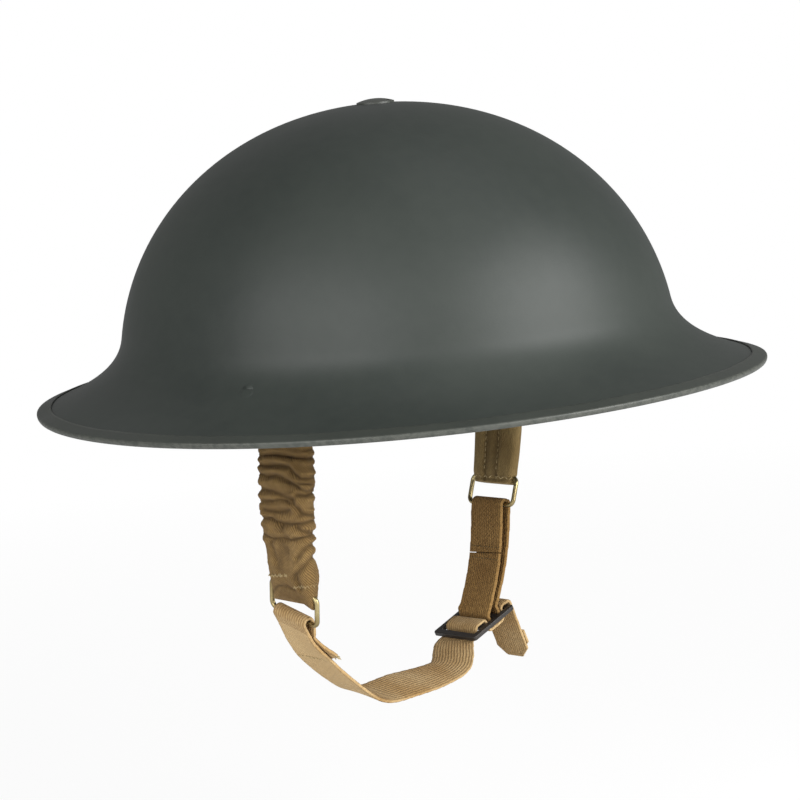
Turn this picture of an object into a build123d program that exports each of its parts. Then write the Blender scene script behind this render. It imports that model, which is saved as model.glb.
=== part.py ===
from build123d import *
import math
import os

os.makedirs("parts", exist_ok=True)

# Steel helmet with a brim, liner and chin strap. Millimetres and degrees.
# Front is +X, the wearer's left is +Y, up is +Z.
# The origin is the middle of the head opening, on the plane of the headband's lower edge.

# Shell
shell_length = 305.0
shell_width = 288.0
shell_height = 116.5         # brim edge to crown
shell_thickness = 1.0
brim_reach_ends = 34.5       # from the dome's widest level to the brim's edge, in front and behind
brim_reach_sides = 37.4
dome_centre_height = 10.0    # its widest level, above the brim's edge
dome_fullness = 2.06         # 2 is a plain ellipse, larger is squarer
flare_height = 28.5          # where the dome's wall passes into the flare of the brim, above the brim's edge
flare_start_reach = 14.9     # how long the flare keeps the wall's direction
flare_end_reach = 19.2       # how long it keeps the brim's slope
brim_slope = 17.75
front_reach = 8.2            # what the brim would gain in front if its edge fell to the sides' level
crown_flat_radius = 9.0      # seat of the crown screw
rim_below_headband = 8.0
cut_overrun = 12.0

# Rim band folded over the brim's edge
band_width = 6.0
band_sheet = 0.6
band_gap = 0.15              # between the band and the shell

# Crown fastening
screw_head_diameter = 15.5
screw_head_height = 2.1
screw_head_edge = 0.7
screw_slot_width = 1.6
screw_slot_depth = 1.1
screw_diameter = 6.0
screw_end = 2.0              # thread left below the nut
hole_clearance = 0.25
spacer_thickness = 6.0
spacer_diameter = 15.5
washer_diameter = 16.0
washer_thickness = 1.2
nut_across_corners = 11.5
nut_height = 5.0

# Liner
liner_space_ends = 21.0      # from the dome's widest line to the headband's inside, in front and behind
liner_space_sides = 28.1
headband_height = 40.0
headband_thickness = 1.4
backing_thickness = 3.0
backing_inset = 4.0          # how far the felt stops short of the headband's edges
hoop_thickness = 1.5
hoop_bottom = 12.0           # above the headband's lower edge
hoop_height = 24.0
liner_gap = 0.2
liner_strap_width = 24.0
liner_strap_thickness = 1.2
buffer_width = 44.0
buffer_height = 18.0
liner_rivet_shank = 3.0
liner_rivet_head = 7.0
liner_rivet_head_height = 1.0
liner_rivet_spacing = 14.0
pad_arm_width = 34.0
pad_reach = 58.0
pad_thickness = 9.0
pad_hole_diameter = 26.0

# Lugs that carry the chin strap
lug_height = 15.0            # above the brim's edge
lug_standoff = 4.6           # from the dome's widest line to the clips' outer faces
lug_rivet_shank = 5.0
lug_rivet_head = 8.0
lug_rivet_head_height = 0.9
lug_washer_diameter = 11.0
clip_width = 14.0
clip_thickness = 1.2
clip_drop = 9.0              # rivet down to the bale's upper bar
bale_wire = 2.6
bale_width = 28.0            # between the middles of the side wires
bale_height = 12.0
bale_corner = 3.5
bale_lean = 50.0             # inwards, from hanging straight down
bar_clearance = 0.15
swivel_clearance = 0.08      # between the clip and its rivet

# Canvas covers with their springs
cover_width = 24.0
cover_thickness = 7.0
cover_hem_width = 21.0
cover_hem_thickness = 5.4
cover_seam_wall = 1.7        # canvas round the bars
cover_wall = 1.0
ruche_width = 2.6            # how far the gathers stand out at the edges
ruche_depth = 1.5            # how far they stand out on the faces
ruche_tilt = 9.0
spring_diameter = 4.0
spring_wire = 0.7
spring_spacing = 10.0
spring_inset = 9.0           # from a bar to the spring's end
right_cover_inset = 9.0      # from the clip's outer face to the middle of the lower bar's seat
right_cover_drop = 66.0      # the same, below the rim
left_cover_inset = 32.0
left_cover_drop = 52.0
left_strap_shift = 2.5       # forward

# Wire loops below the covers
loop_wire = 2.0
loop_width = 26.5
loop_height = 12.0
loop_corner = 2.5

# Webbing and its slide buckle
webbing_width = 19.0
webbing_thickness = 1.5
webbing_gap = 0.35
webbing_corner = 1.3
sewn_end_length = 27.0
sewn_lead = 8.0              # over which the sewn end closes on the strap
chin_inset = 8.0             # from the clip's outer face to the strap's widest line
chin_depth = 124.0           # below the rim
strap_yaw = -16.0            # turn of the strap's width, seen from above
strap_roll = 14.0            # its front edge hangs lower by this much on the wearer's right
buckle_inset = 51.8          # from the clip's outer face to the buckle's middle
buckle_drop = 112.1
buckle_shift = -2.0
buckle_tilt = 20.0
buckle_thickness = 2.0
buckle_width = 25.5
buckle_slot = 4.9
buckle_bar = 3.1
buckle_rail_clearance = 0.5
buckle_corner = 1.5
tail_length = 29.0
tail_fold_length = 12.0
tail_point = 4.5
tab_butt_gap = 1.0

cover_corner_share = 0.4      # corner radius of a cover's section, of its thickness
sewn_share = 0.95             # spacing of two layers that are sewn together, of one layer's thickness
tab_split_share = 0.55        # where the tab's ends meet, from the buckle to the loop
overrun_share = 1.4           # how far the shell's faces run past the brim's edge, of the flare's last step
dome_steps = 11               # rings of the dome
chin_steps = 20               # lengths of the chin strap between the sewn end and the buckle
flare_steps = 8               # rings of the flare
spring_steps = 6              # straight lengths of a spring
flare_step = 1.0              # degrees over which the wall's direction is taken

# Where the gathers of the right cover stand, from its top bar to its lower bar
ruche_shares = (0.13, 0.21, 0.29, 0.36, 0.44, 0.52, 0.60)
# The right cover between its ends, in shares of its lower end's offset and of its length
right_route_shares = ((0.966, 0.16), (0.991, 0.42), (1.008, 0.75))
# The chin strap from the sewn end to the buckle, in shares of its spread and of its depth
chin_route_shares = (
    (-0.800, 0.822), (-0.672, 0.893), (-0.541, 0.950), (-0.419, 0.974), (-0.301, 0.982),
    (-0.182, 0.988), (-0.056, 0.997), (0.076, 1.003), (0.215, 0.998),
)
# Turn of the strap's width on the way, in even steps: shares of its yaw and of its roll
chin_yaw_shares = (1.0, 0.6, 0.4, 0.4, 0.7, 1.0)
chin_roll_shares = (1.0, 0.7, 1.0, 1.4, 0.9, 0.0)

# Worked out from the sizes above
rim_level = -rim_below_headband
crown_level = rim_level + shell_height
dome_length = shell_length - 2 * brim_reach_ends
dome_width = shell_width - 2 * brim_reach_sides
headband_length = dome_length - 2 * liner_space_ends      # inside
headband_width = dome_width - 2 * liner_space_sides
lug_seat = dome_width / 2 - lug_standoff                   # outer face of the clips, from the middle plane
right_cover_offset = lug_seat - right_cover_inset
left_cover_offset = lug_seat - left_cover_inset
chin_spread = lug_seat - chin_inset
buckle_offset = lug_seat - buckle_inset


def slope(angle):
    return math.tan(math.radians(angle))


# Angles from the top at which the crown's flat ends and the dome passes into the flare
crown_turn = math.asin((crown_flat_radius / (dome_length / 2)) ** (dome_fullness / 2))
dome_rise = (shell_height - dome_centre_height) / math.cos(crown_turn) ** (2 / dome_fullness)
flare_turn = math.acos(((flare_height - dome_centre_height) / dome_rise) ** (dome_fullness / 2))


# Half the dome's width, and its height above its widest level, at an angle from the top
def dome_place(turn):
    power = 2 / dome_fullness
    return dome_width / 2 * math.sin(turn) ** power, dome_rise * math.cos(turn) ** power


# Half the width, and the height above the brim's edge, along the flare from the dome to the edge
def flare_place(share):
    start, height = dome_place(flare_turn)
    start_height = height + dome_centre_height
    near_width, near_height = dome_place(flare_turn - math.radians(flare_step))
    step = math.hypot(start - near_width, near_height - height)
    first = (start + flare_start_reach * (start - near_width) / step,
             start_height - flare_start_reach * (near_height - height) / step)
    fall = math.radians(brim_slope)
    last = (shell_width / 2 - flare_end_reach * math.cos(fall), flare_end_reach * math.sin(fall))
    rest = 1 - share
    weights = rest ** 3, 3 * rest ** 2 * share, 3 * rest * share ** 2, share ** 3
    points = (start, start_height), first, last, (shell_width / 2, 0)
    return tuple(sum(weight * point[axis] for weight, point in zip(weights, points)) for axis in (0, 1))


# Level rings of the shell's outer face, from the crown flat to past the brim's edge
def outer_rings():
    rings = []
    stretch = dome_length / dome_width
    for step in range(dome_steps + 1):
        width, rise = dome_place(crown_turn + (flare_turn - crown_turn) * step / dome_steps)
        rings.append((width * stretch, width, rim_level + dome_centre_height + rise))
    neck_length, neck_width = rings[-1][:2]
    lengthening = (shell_length / 2 + front_reach - neck_length) / (shell_width / 2 - neck_width)
    for step in range(1, flare_steps + 1):
        width, rise = flare_place(step / flare_steps)
        rings.append((neck_length + (width - neck_width) * lengthening, width, rim_level + rise))
    last, before = rings[-1], rings[-2]
    rings.append(tuple(end + (end - start) * overrun_share for end, start in zip(last, before)))
    return rings


# The same rings moved inwards, square to the face
def inset_rings(inset):
    rings = outer_rings()
    moved = []
    for index, (length, width, level) in enumerate(rings):
        before = rings[max(index - 1, 0)]
        after = rings[min(index + 1, len(rings) - 1)]
        fall = before[2] - after[2]
        long_side = math.hypot(fall, after[0] - before[0])
        short_side = math.hypot(fall, after[1] - before[1])
        lift = ((after[0] - before[0]) / long_side + (after[1] - before[1]) / short_side) / 2
        if index == 0:
            lift = 1
        moved.append((length - inset * fall / long_side, width - inset * fall / short_side, level - inset * lift))
    return moved


def dome_solid(inset):
    sections = [Pos(0, 0, level) * Ellipse(length, width) for length, width, level in inset_rings(inset)]
    return loft(sections[::-1])


def oval_prism(length, width, bottom, top):
    return extrude(Pos(0, 0, bottom) * Ellipse(length / 2, width / 2), top - bottom)


def upright_cylinder(diameter, bottom, top):
    return extrude(Pos(0, 0, bottom) * Circle(diameter / 2), top - bottom)


outer_dome = dome_solid(0)
inner_dome = dome_solid(shell_thickness)
liner_space = dome_solid(shell_thickness + liner_gap)
lowest = rim_level - cut_overrun
highest = crown_level + cut_overrun


def screw_hole():
    return upright_cylinder(screw_diameter + 2 * hole_clearance, lowest, highest)


def shell():
    outline = oval_prism(shell_length, shell_width, lowest, highest)
    blank = (outer_dome & outline) - inner_dome
    lug_hole = Cylinder(lug_rivet_shank / 2 + hole_clearance / 2, shell_width, rotation=(90, 0, 0))
    return blank - screw_hole() - Pos(0, 0, lug_level) * lug_hole


# The shell thickened on both faces and grown at its edge
def brim_layer(growth):
    outline = oval_prism(shell_length + 2 * growth, shell_width + 2 * growth, lowest, highest)
    return (dome_solid(-growth) & outline) - dome_solid(shell_thickness + growth)


def rim_band():
    inside = oval_prism(shell_length - 2 * band_width, shell_width - 2 * band_width, lowest, highest)
    return brim_layer(band_gap + band_sheet) - inside - brim_layer(band_gap)


# Crown fastening: levels from the top down
spacer_top = crown_level - shell_thickness
strap_top = spacer_top - spacer_thickness
side_strap_top = strap_top - liner_strap_thickness
washer_top = side_strap_top - liner_strap_thickness
nut_top = washer_top - washer_thickness
nut_bottom = nut_top - nut_height


def crown_screw():
    radius = screw_head_diameter / 2
    edge = crown_level + screw_head_edge
    top = crown_level + screw_head_height
    cap_radius = (radius ** 2 + (top - edge) ** 2) / (2 * (top - edge))
    cap = Pos(0, 0, top - cap_radius) * Sphere(cap_radius)
    head = upright_cylinder(screw_head_diameter, crown_level, top) & cap
    slot = Pos(0, 0, top) * Box(screw_head_diameter, screw_slot_width, 2 * screw_slot_depth)
    shank = upright_cylinder(screw_diameter, nut_bottom - screw_end, crown_level)
    return head - slot + shank


def crown_ring(diameter, bottom, top):
    return upright_cylinder(diameter, bottom, top) - screw_hole()


def crown_nut():
    blank = extrude(Pos(0, 0, nut_bottom) * RegularPolygon(nut_across_corners / 2, 6), nut_height)
    return blank - upright_cylinder(screw_diameter, nut_bottom, nut_top)


# Half sizes of the liner's ovals, from the headband outwards
backing_inner = headband_thickness + liner_gap
hoop_inner = backing_inner + backing_thickness + liner_gap
hoop_outer = hoop_inner + hoop_thickness
strap_outer = hoop_outer + liner_gap + liner_strap_thickness
hoop_top = hoop_bottom + hoop_height


def oval_band(inner, outer, bottom, top):
    blank = oval_prism(headband_length + 2 * outer, headband_width + 2 * outer, bottom, top)
    return blank - oval_prism(headband_length + 2 * inner, headband_width + 2 * inner, bottom, top)


def headband():
    band = oval_band(0, headband_thickness, 0, headband_height)
    return fillet(band.edges(), headband_thickness / 3)


# A strip on edge in the XZ plane: upright legs, half an ellipse between them and a flat crown
def arched_strip(half_span, top, foot, width, thickness):
    rise = top - hoop_top
    crown_half = pad_arm_width / 2 + liner_gap
    full_rise = rise / math.sqrt(1 - (crown_half / half_span) ** 2)

    def arch(inset):
        oval = Ellipse(half_span - inset, full_rise - inset)
        half = Pos(0, hoop_top) * (oval & Pos(0, (rise - inset) / 2) * Rectangle(shell_length, rise - inset))
        legs = Pos(0, (foot + hoop_top) / 2) * Rectangle(2 * (half_span - inset), hoop_top - foot)
        return half + legs
    strip = arch(0) - arch(thickness)
    return extrude(Plane.XZ * strip, width / 2, both=True)


def liner_strap_fore_aft():
    half_span = headband_length / 2 + strap_outer
    strap = arched_strip(half_span, strap_top, hoop_bottom, liner_strap_width, liner_strap_thickness)
    return strap - screw_hole() - liner_rivet_holes()


def liner_strap_side():
    half_span = headband_width / 2 + strap_outer
    strap = arched_strip(half_span, side_strap_top, hoop_bottom, liner_strap_width, liner_strap_thickness)
    return Rot(0, 0, 90) * strap - screw_hole() - liner_rivet_holes()


# Places round the hoop: direction from the middle, and distance to the strap's outer face
def hoop_places():
    long_face = headband_length / 2 + strap_outer
    side_face = headband_width / 2 + strap_outer
    return {"front": (0, long_face), "left": (90, side_face), "rear": (180, long_face), "right": (270, side_face)}


def on_hoop(direction, face, offset, shape):
    level = hoop_bottom + hoop_height / 2
    return Rot(0, 0, direction) * Pos(face, offset, level) * Rot(0, 90, 0) * shape


def liner_rivet_places():
    for direction, face in hoop_places().values():
        for side in (-1, 1):
            yield direction, face, side * liner_rivet_spacing / 2


def liner_rivet_holes():
    depth = 2 * (hoop_thickness + liner_strap_thickness)
    cutter = Cylinder(liner_rivet_shank / 2, 2 * depth)
    return Part() + [on_hoop(*place, cutter) for place in liner_rivet_places()]


# How far the hoop has curved away from the strap at a rivet
def hoop_fall(length, width):
    return length / 2 * (1 - math.sqrt(1 - (liner_rivet_spacing / width) ** 2))


def liner_rivets():
    rivets = []
    for direction, face, offset in liner_rivet_places():
        length, width = headband_length + 2 * hoop_inner, headband_width + 2 * hoop_inner
        if direction % 180:
            length, width = width, length
        reach = liner_strap_thickness + liner_gap + hoop_thickness + hoop_fall(length, width)
        shank = Pos(0, 0, -reach / 2) * Cylinder(liner_rivet_shank / 2, reach)
        head = Pos(0, 0, liner_rivet_head_height / 2) * Cylinder(liner_rivet_head / 2, liner_rivet_head_height)
        rivets.append(on_hoop(direction, face, offset, shank + head))
    return Compound(children=rivets)


def rubber_buffer(name):
    direction, face = hoop_places()[name]
    depth = shell_length / 2 - face
    block = Pos(0, 0, depth / 2) * Box(buffer_height, buffer_width, depth)
    block = on_hoop(direction, face, 0, block) & liner_space
    recess = Cylinder(liner_rivet_head / 2 + liner_gap, 2 * (liner_rivet_head_height + liner_gap))
    for side in (-1, 1):
        block -= on_hoop(direction, face, side * liner_rivet_spacing / 2, recess)
    return block


def crown_pad():
    below = liner_strap_thickness + liner_gap
    arms = []
    for span, turn in ((headband_length, 0), (headband_width, 90)):
        half_span = span / 2 + strap_outer - below
        arm = arched_strip(half_span, washer_top - liner_gap, hoop_bottom, pad_arm_width, pad_thickness)
        arm &= Pos(0, 0, crown_level) * Box(2 * pad_reach, shell_width, crown_level)
        arms.append(Rot(0, 0, turn) * arm)
    hole = upright_cylinder(pad_hole_diameter, lowest, highest)
    return arms[0] + arms[1] - hole


# Lugs. Everything here is made on the wearer's left and mirrored for the right.
lug_level = rim_level + lug_height
knuckle_radius = bale_wire / 2 + bar_clearance + clip_thickness
knuckle_offset = lug_seat - knuckle_radius
knuckle_level = lug_level - clip_drop


def lateral_cylinder(diameter, start, end):
    rod = Cylinder(diameter / 2, end - start, rotation=(90, 0, 0))
    return Pos(0, (start + end) / 2, lug_level) * rod


def lug_rivet():
    inner = lug_seat - clip_thickness
    head = lateral_cylinder(lug_rivet_head, inner - bar_clearance - lug_rivet_head_height, inner - bar_clearance)
    shank = lateral_cylinder(lug_rivet_shank, inner - bar_clearance, shell_width / 2) & outer_dome
    return shank + head


# The seat's outer face follows the shell
def lug_washer():
    ring = lateral_cylinder(lug_washer_diameter, lug_seat + bar_clearance, shell_width / 2) & inner_dome
    return ring - lateral_cylinder(lug_rivet_shank, 0, shell_width)


def lug_clip():
    middle = Pos(0, lug_seat - clip_thickness / 2, lug_level - clip_drop / 2)
    plate = middle * Box(clip_width, clip_thickness, clip_drop)
    plate += lateral_cylinder(clip_width, lug_seat - clip_thickness, lug_seat)
    plate -= lateral_cylinder(lug_rivet_shank + 2 * swivel_clearance, 0, shell_width)
    knuckle = Cylinder(knuckle_radius, clip_width, rotation=(0, 90, 0))
    bore = Cylinder(bale_wire / 2 + bar_clearance, shell_width, rotation=(0, 90, 0))
    seat = Pos(0, knuckle_offset, knuckle_level)
    return plate + seat * knuckle - seat * bore


def wire_loop(frame, width, height, corner, wire):
    path = (frame * Pos(0, -height / 2) * RectangleRounded(width, height, corner)).wire()
    start = Plane(origin=path @ 0, z_dir=path % 0)
    return sweep(start * Circle(wire / 2), path=path)


bale_end = Vector(
    0,
    knuckle_offset - bale_height * math.sin(math.radians(bale_lean)),
    knuckle_level - bale_height * math.cos(math.radians(bale_lean)),
)


def lug_bale():
    top = Vector(0, knuckle_offset, knuckle_level)
    rise = (top - bale_end).normalized()
    frame = Plane(origin=top, x_dir=(1, 0, 0), z_dir=Vector(1, 0, 0).cross(rise))
    return wire_loop(frame, bale_width, bale_height, bale_corner, bale_wire)


# Direction of a strap's width
def across(yaw, roll):
    yaw, roll = math.radians(yaw), math.radians(roll)
    return Vector(math.cos(yaw) * math.cos(roll), math.sin(yaw) * math.cos(roll), -math.sin(roll))


# A plane through a strap: x runs across its width, z along it
def strap_plane(place, along, width_direction):
    square = along - width_direction * width_direction.dot(along)
    return Plane(origin=place, x_dir=width_direction, z_dir=square)


# A cover's middle line from the bale's lower bar to the loop's upper bar, and its turn on the way
class Cover:
    def __init__(self, places, yaw, roll):
        self.path = Spline(*places)
        self.yaw = yaw
        self.roll = roll

    def plane(self, share, tilt=0):
        direction = across(self.yaw * share, self.roll * share)
        return strap_plane(self.path @ share, self.path % share, direction).rotated((0, tilt, 0))


def cover_right_line():
    top = Vector(0, -bale_end.Y, bale_end.Z)
    end = Vector(0, -right_cover_offset, rim_level - right_cover_drop)
    route = [Vector(0, end.Y * y, top.Z + (end.Z - top.Z) * z) for y, z in right_route_shares]
    return Cover((top, *route, end), strap_yaw, strap_roll)


def cover_left_line():
    end = Vector(left_strap_shift, left_cover_offset, rim_level - left_cover_drop)
    return Cover((bale_end, (bale_end + end) / 2, end), strap_yaw, 0)


# Where the covers have plain sections between their hems, in shares of their length
right_smooth_shares = (0.67, 0.78, 0.9)
left_smooth_shares = (0.1, 0.3, 0.5, 0.7, 0.9)
first_smooth_share = 0.07
small_swell_share = 0.7       # every third gather stands out this much less


# Sections of a cover: share of its length, tilt, width and thickness
def cover_ends():
    hem = (cover_hem_width, cover_hem_thickness)
    return (0, 0, *hem), (1, 0, *hem)


def cover_right_sections():
    first, last = cover_ends()
    sections = [first, (first_smooth_share, 0, cover_width, cover_thickness)]
    for index, crest in enumerate(ruche_shares):
        swell = 1 if index % 3 else small_swell_share
        tilt = ruche_tilt if index % 2 else -ruche_tilt / 2
        sections.append((crest, tilt, cover_width + ruche_width * swell, cover_thickness + ruche_depth * swell))
        if index + 1 < len(ruche_shares):
            trough = (crest + ruche_shares[index + 1]) / 2
            sections.append((trough, 0, cover_width, cover_thickness))
    smooth_width = (cover_hem_width + cover_width) / 2
    sections += [(share, 0, smooth_width, cover_thickness) for share in right_smooth_shares]
    return sections + [last]


def cover_left_sections():
    first, last = cover_ends()
    return [first] + [(share, 0, cover_width, cover_thickness) for share in left_smooth_shares] + [last]


# The sleeve is hollow for the springs, and its ends are sewn round the bars
def spring_cover(line, sections):
    def sleeve(wall):
        outlines = []
        for share, tilt, width, depth in sections:
            outline = RectangleRounded(width - 2 * wall, depth - 2 * wall, (depth - 2 * wall) * cover_corner_share)
            outlines.append(line.plane(share, tilt) * outline)
        return loft(outlines, ruled=True)
    cover = sleeve(0)
    for share, wire in ((0, bale_wire), (1, loop_wire)):
        seat = line.plane(share) * Rot(0, 90, 0)
        cover += seat * Cylinder(wire / 2 + bar_clearance + cover_seam_wall, cover_hem_width)
        cover -= seat * Cylinder(wire / 2 + bar_clearance, 2 * cover_width)
    return cover - sleeve(cover_wall)


def spring_path(line, side, radius):
    inset = spring_inset / line.path.length
    shares = [inset + (1 - 2 * inset) * step / spring_steps for step in range(spring_steps + 1)]
    place = Pos(side * spring_spacing / 2, 0)
    return loft([line.plane(share) * place * Circle(radius) for share in shares], ruled=True)


def strap_springs(line):
    tubes = []
    for side in (-1, 1):
        outside = spring_path(line, side, spring_diameter / 2)
        tubes.append(outside - spring_path(line, side, spring_diameter / 2 - spring_wire))
    return Compound(children=tubes)


right_line = cover_right_line()
left_line = cover_left_line()


# Wire loop below a cover: from the cover's seat down to the webbing's fold
def end_loop_frame(line):
    plane = line.plane(1)
    return Plane(origin=plane.origin, x_dir=plane.x_dir, z_dir=plane.x_dir.cross(plane.z_dir * -1))


def end_loop(line):
    return wire_loop(end_loop_frame(line), loop_width, loop_height, loop_corner, loop_wire)


def lower_bar(line):
    return line.plane(1).origin + line.plane(1).z_dir * loop_height


# A flat strip along a line drawn in a plane whose z axis runs across the strip
def flat_strip(plane, path):
    face = trace(path, webbing_thickness)
    return extrude(plane * face, webbing_width / 2, both=True)


def strap_section(plane):
    return plane * Rectangle(webbing_width, webbing_thickness)


fold_radius = loop_wire / 2 + webbing_gap + webbing_thickness / 2


# Plane of the fold round a bar: x along the strap away from the bar, z across the strap
def fold_plane(place, away, width_direction):
    square = away - width_direction * width_direction.dot(away)
    return Plane(origin=place, x_dir=square, z_dir=width_direction)


# Buckle: x along it from the chin to the tail, y out of its upper face, z across
def buckle_plane():
    width_direction = across(strap_yaw, 0)
    level = Vector(-width_direction.Y, width_direction.X, 0)
    tilt = math.radians(buckle_tilt)
    along = level * math.cos(tilt) + Vector(0, 0, math.sin(tilt))
    place = Vector(buckle_shift, buckle_offset, rim_level - buckle_drop)
    place += width_direction * width_direction.dot(lower_bar(left_line) - place)
    return Plane(origin=place, x_dir=along, z_dir=width_direction)


slot_pitch = buckle_slot + buckle_bar
buckle_length = 3 * slot_pitch + buckle_bar


def slide_buckle():
    plate = RectangleRounded(buckle_length, buckle_width, buckle_corner)
    slot_length = webbing_width + 2 * buckle_rail_clearance
    for step in (-1, 0, 1):
        plate -= Pos(step * slot_pitch, 0) * Rectangle(buckle_slot, slot_length)
    solid = extrude(plate, buckle_thickness / 2, both=True)
    edges = solid.edges().filter_by(Plane.XY)
    solid = fillet(edges, buckle_thickness / 5)
    return buckle_plane() * Rot(-90, 0, 0) * solid


over_bar = buckle_thickness / 2 + webbing_gap + webbing_thickness / 2
under_wrap = over_bar + webbing_thickness + webbing_gap
side_by_side = webbing_thickness / 2 + webbing_gap
entry = -(buckle_length / 2 + webbing_width / 4)
past_end = buckle_length / 2 + webbing_gap + webbing_thickness


def weave_path():
    rise = slot_pitch + side_by_side
    points = [
        (entry, -over_bar), (-slot_pitch, -over_bar), (-slot_pitch, over_bar), (-side_by_side, over_bar),
        (-side_by_side, -under_wrap), (rise, -under_wrap), (rise, over_bar), (past_end, over_bar),
        (past_end, over_bar - tail_length),
    ]
    return FilletPolyline(*points, radius=webbing_corner)


# The tail's end is folded back on itself, and its corners are cut to a blunt point
def strap_tail():
    low = over_bar - tail_length
    middle = past_end + webbing_thickness / 2
    doubled = Pos(middle, low + tail_fold_length / 2) * Rectangle(2 * webbing_thickness, tail_fold_length)
    doubled += Pos(middle, low) * Circle(webbing_thickness)
    doubled = extrude(buckle_plane() * doubled, webbing_width / 2, both=True)
    corners = []
    for side in (-1, 1):
        corner = Pos(middle, low - webbing_thickness, side * webbing_width / 2)
        corners.append(buckle_plane() * corner * Rot(45, 0, 0) * Box(cut_overrun, tail_point * 2, tail_point * 2))
    return doubled, corners


# A value at a share of the way through a table of even steps
def between(table, share):
    place = share * (len(table) - 1)
    index = min(int(place), len(table) - 2)
    return table[index] + (table[index + 1] - table[index]) * (place - index)


def chin_webbing(line):
    bar = lower_bar(line)
    route = [Vector(0, y * chin_spread, rim_level - z * chin_depth) for y, z in chin_route_shares]
    away = (route[0] - bar).normalized()
    fold = fold_plane(bar, away, across(strap_yaw, strap_roll))
    closed = webbing_thickness * sewn_share - fold_radius
    inner = FilletPolyline(
        (0, fold_radius), (sewn_lead / 3, fold_radius), (sewn_lead, closed), (sewn_end_length, closed),
        radius=webbing_corner,
    )
    outer = Line((0, -fold_radius), (sewn_lead, -fold_radius))
    turn = ThreePointArc((0, fold_radius), (-fold_radius, 0), (0, -fold_radius))
    sewn = flat_strip(fold, inner) + flat_strip(fold, turn) + flat_strip(fold, outer)
    start = fold.from_local_coords(Vector(sewn_lead, -fold_radius, 0))
    plane = buckle_plane()
    finish = plane.from_local_coords(Vector(entry, -over_bar, 0))
    line_3d = Spline(start, *route[1:], finish, tangents=(fold.x_dir, plane.x_dir))
    sections = []
    for step in range(chin_steps + 1):
        share = step / chin_steps
        turned = across(strap_yaw * between(chin_yaw_shares, share), strap_roll * between(chin_roll_shares, share))
        sections.append(strap_section(strap_plane(line_3d @ share, line_3d % share, turned)))
    chin = loft(sections, ruled=True)
    doubled, corners = strap_tail()
    webbing = sewn + chin + flat_strip(plane, weave_path()) + doubled
    for corner in corners:
        webbing -= corner
    return webbing


# The tab is a strip closed into a flat loop, round the left wire loop and the buckle's third bar
def adjuster_tab(line):
    plane = buckle_plane()
    bar = plane.to_local_coords(lower_bar(line))
    foot = Vector(slot_pitch / 2, 0)
    top = Vector(bar.X, bar.Y)
    climb = (top - foot).normalized()
    out = Vector(climb.Y, -climb.X)
    front_top, back_top = top - out * fold_radius, top + out * fold_radius
    front_bend = Vector(side_by_side, over_bar + webbing_thickness)
    back_bend = Vector(2 * foot.X - side_by_side, over_bar + 2 * webbing_thickness)
    split = front_bend + (front_top - front_bend) * tab_split_share
    gap = (front_top - split).normalized() * tab_butt_gap / 2
    lower = FilletPolyline(
        split - gap, front_bend, (front_bend.X, -over_bar), (back_bend.X, -over_bar), back_bend, back_top,
        radius=webbing_corner,
    )
    turn = ThreePointArc(back_top, top + climb * fold_radius, front_top)
    upper = Line(front_top, split + gap)
    return flat_strip(plane, lower) + flat_strip(plane, turn) + flat_strip(plane, upper)


def save(name, shape):
    export_step(shape, os.path.join("parts", name + ".step"))
    print(name, "solids", len(shape.solids()), "volume", round(shape.volume))


def mirrored(shape):
    return mirror(shape, about=Plane.XZ)


save("shell", shell())
save("rim_band", rim_band())
save("crown_screw", crown_screw())
save("crown_spacer", crown_ring(spacer_diameter, strap_top, spacer_top))
save("crown_washer", crown_ring(washer_diameter, nut_top, washer_top))
save("crown_nut", crown_nut())
save("headband", headband())
save("headband_backing", oval_band(backing_inner, backing_inner + backing_thickness,
                                   backing_inset, headband_height - backing_inset))
save("liner_hoop", oval_band(hoop_inner, hoop_outer, hoop_bottom, hoop_top) - liner_rivet_holes())
save("liner_strap_fore_aft", liner_strap_fore_aft())
save("liner_strap_side", liner_strap_side())
save("liner_rivets", liner_rivets())
for place in hoop_places():
    save("rubber_buffer_" + place, rubber_buffer(place))
save("crown_pad", crown_pad())
save("lug_rivets", Compound(children=[lug_rivet(), mirrored(lug_rivet())]))
save("lug_washers", Compound(children=[lug_washer(), mirrored(lug_washer())]))
save("lug_clip_left", lug_clip())
save("lug_clip_right", mirrored(lug_clip()))
save("lug_bale_left", lug_bale())
save("lug_bale_right", mirrored(lug_bale()))
save("spring_cover_right", spring_cover(right_line, cover_right_sections()))
save("spring_cover_left", spring_cover(left_line, cover_left_sections()))
save("strap_springs_right", strap_springs(right_line))
save("strap_springs_left", strap_springs(left_line))
save("end_loop_right", end_loop(right_line))
save("end_loop_left", end_loop(left_line))
save("chin_webbing", chin_webbing(right_line))
save("adjuster_tab", adjuster_tab(left_line))
save("slide_buckle", slide_buckle())
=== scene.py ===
import bpy
import bmesh
import math
import numpy as np
from collections import Counter
from mathutils import Matrix, Vector, noise


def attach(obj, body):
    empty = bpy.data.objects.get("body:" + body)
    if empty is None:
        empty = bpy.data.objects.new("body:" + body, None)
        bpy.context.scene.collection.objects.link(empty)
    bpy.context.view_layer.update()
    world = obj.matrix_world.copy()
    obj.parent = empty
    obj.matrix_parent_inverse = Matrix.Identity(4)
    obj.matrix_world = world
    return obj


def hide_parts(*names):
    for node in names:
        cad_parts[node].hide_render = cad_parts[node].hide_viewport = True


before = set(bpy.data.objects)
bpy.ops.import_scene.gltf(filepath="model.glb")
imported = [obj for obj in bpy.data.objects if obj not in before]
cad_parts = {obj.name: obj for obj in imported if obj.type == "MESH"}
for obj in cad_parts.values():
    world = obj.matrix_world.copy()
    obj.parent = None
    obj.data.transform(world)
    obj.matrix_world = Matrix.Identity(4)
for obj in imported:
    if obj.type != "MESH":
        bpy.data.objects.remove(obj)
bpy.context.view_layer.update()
print("frame loaded")

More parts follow.
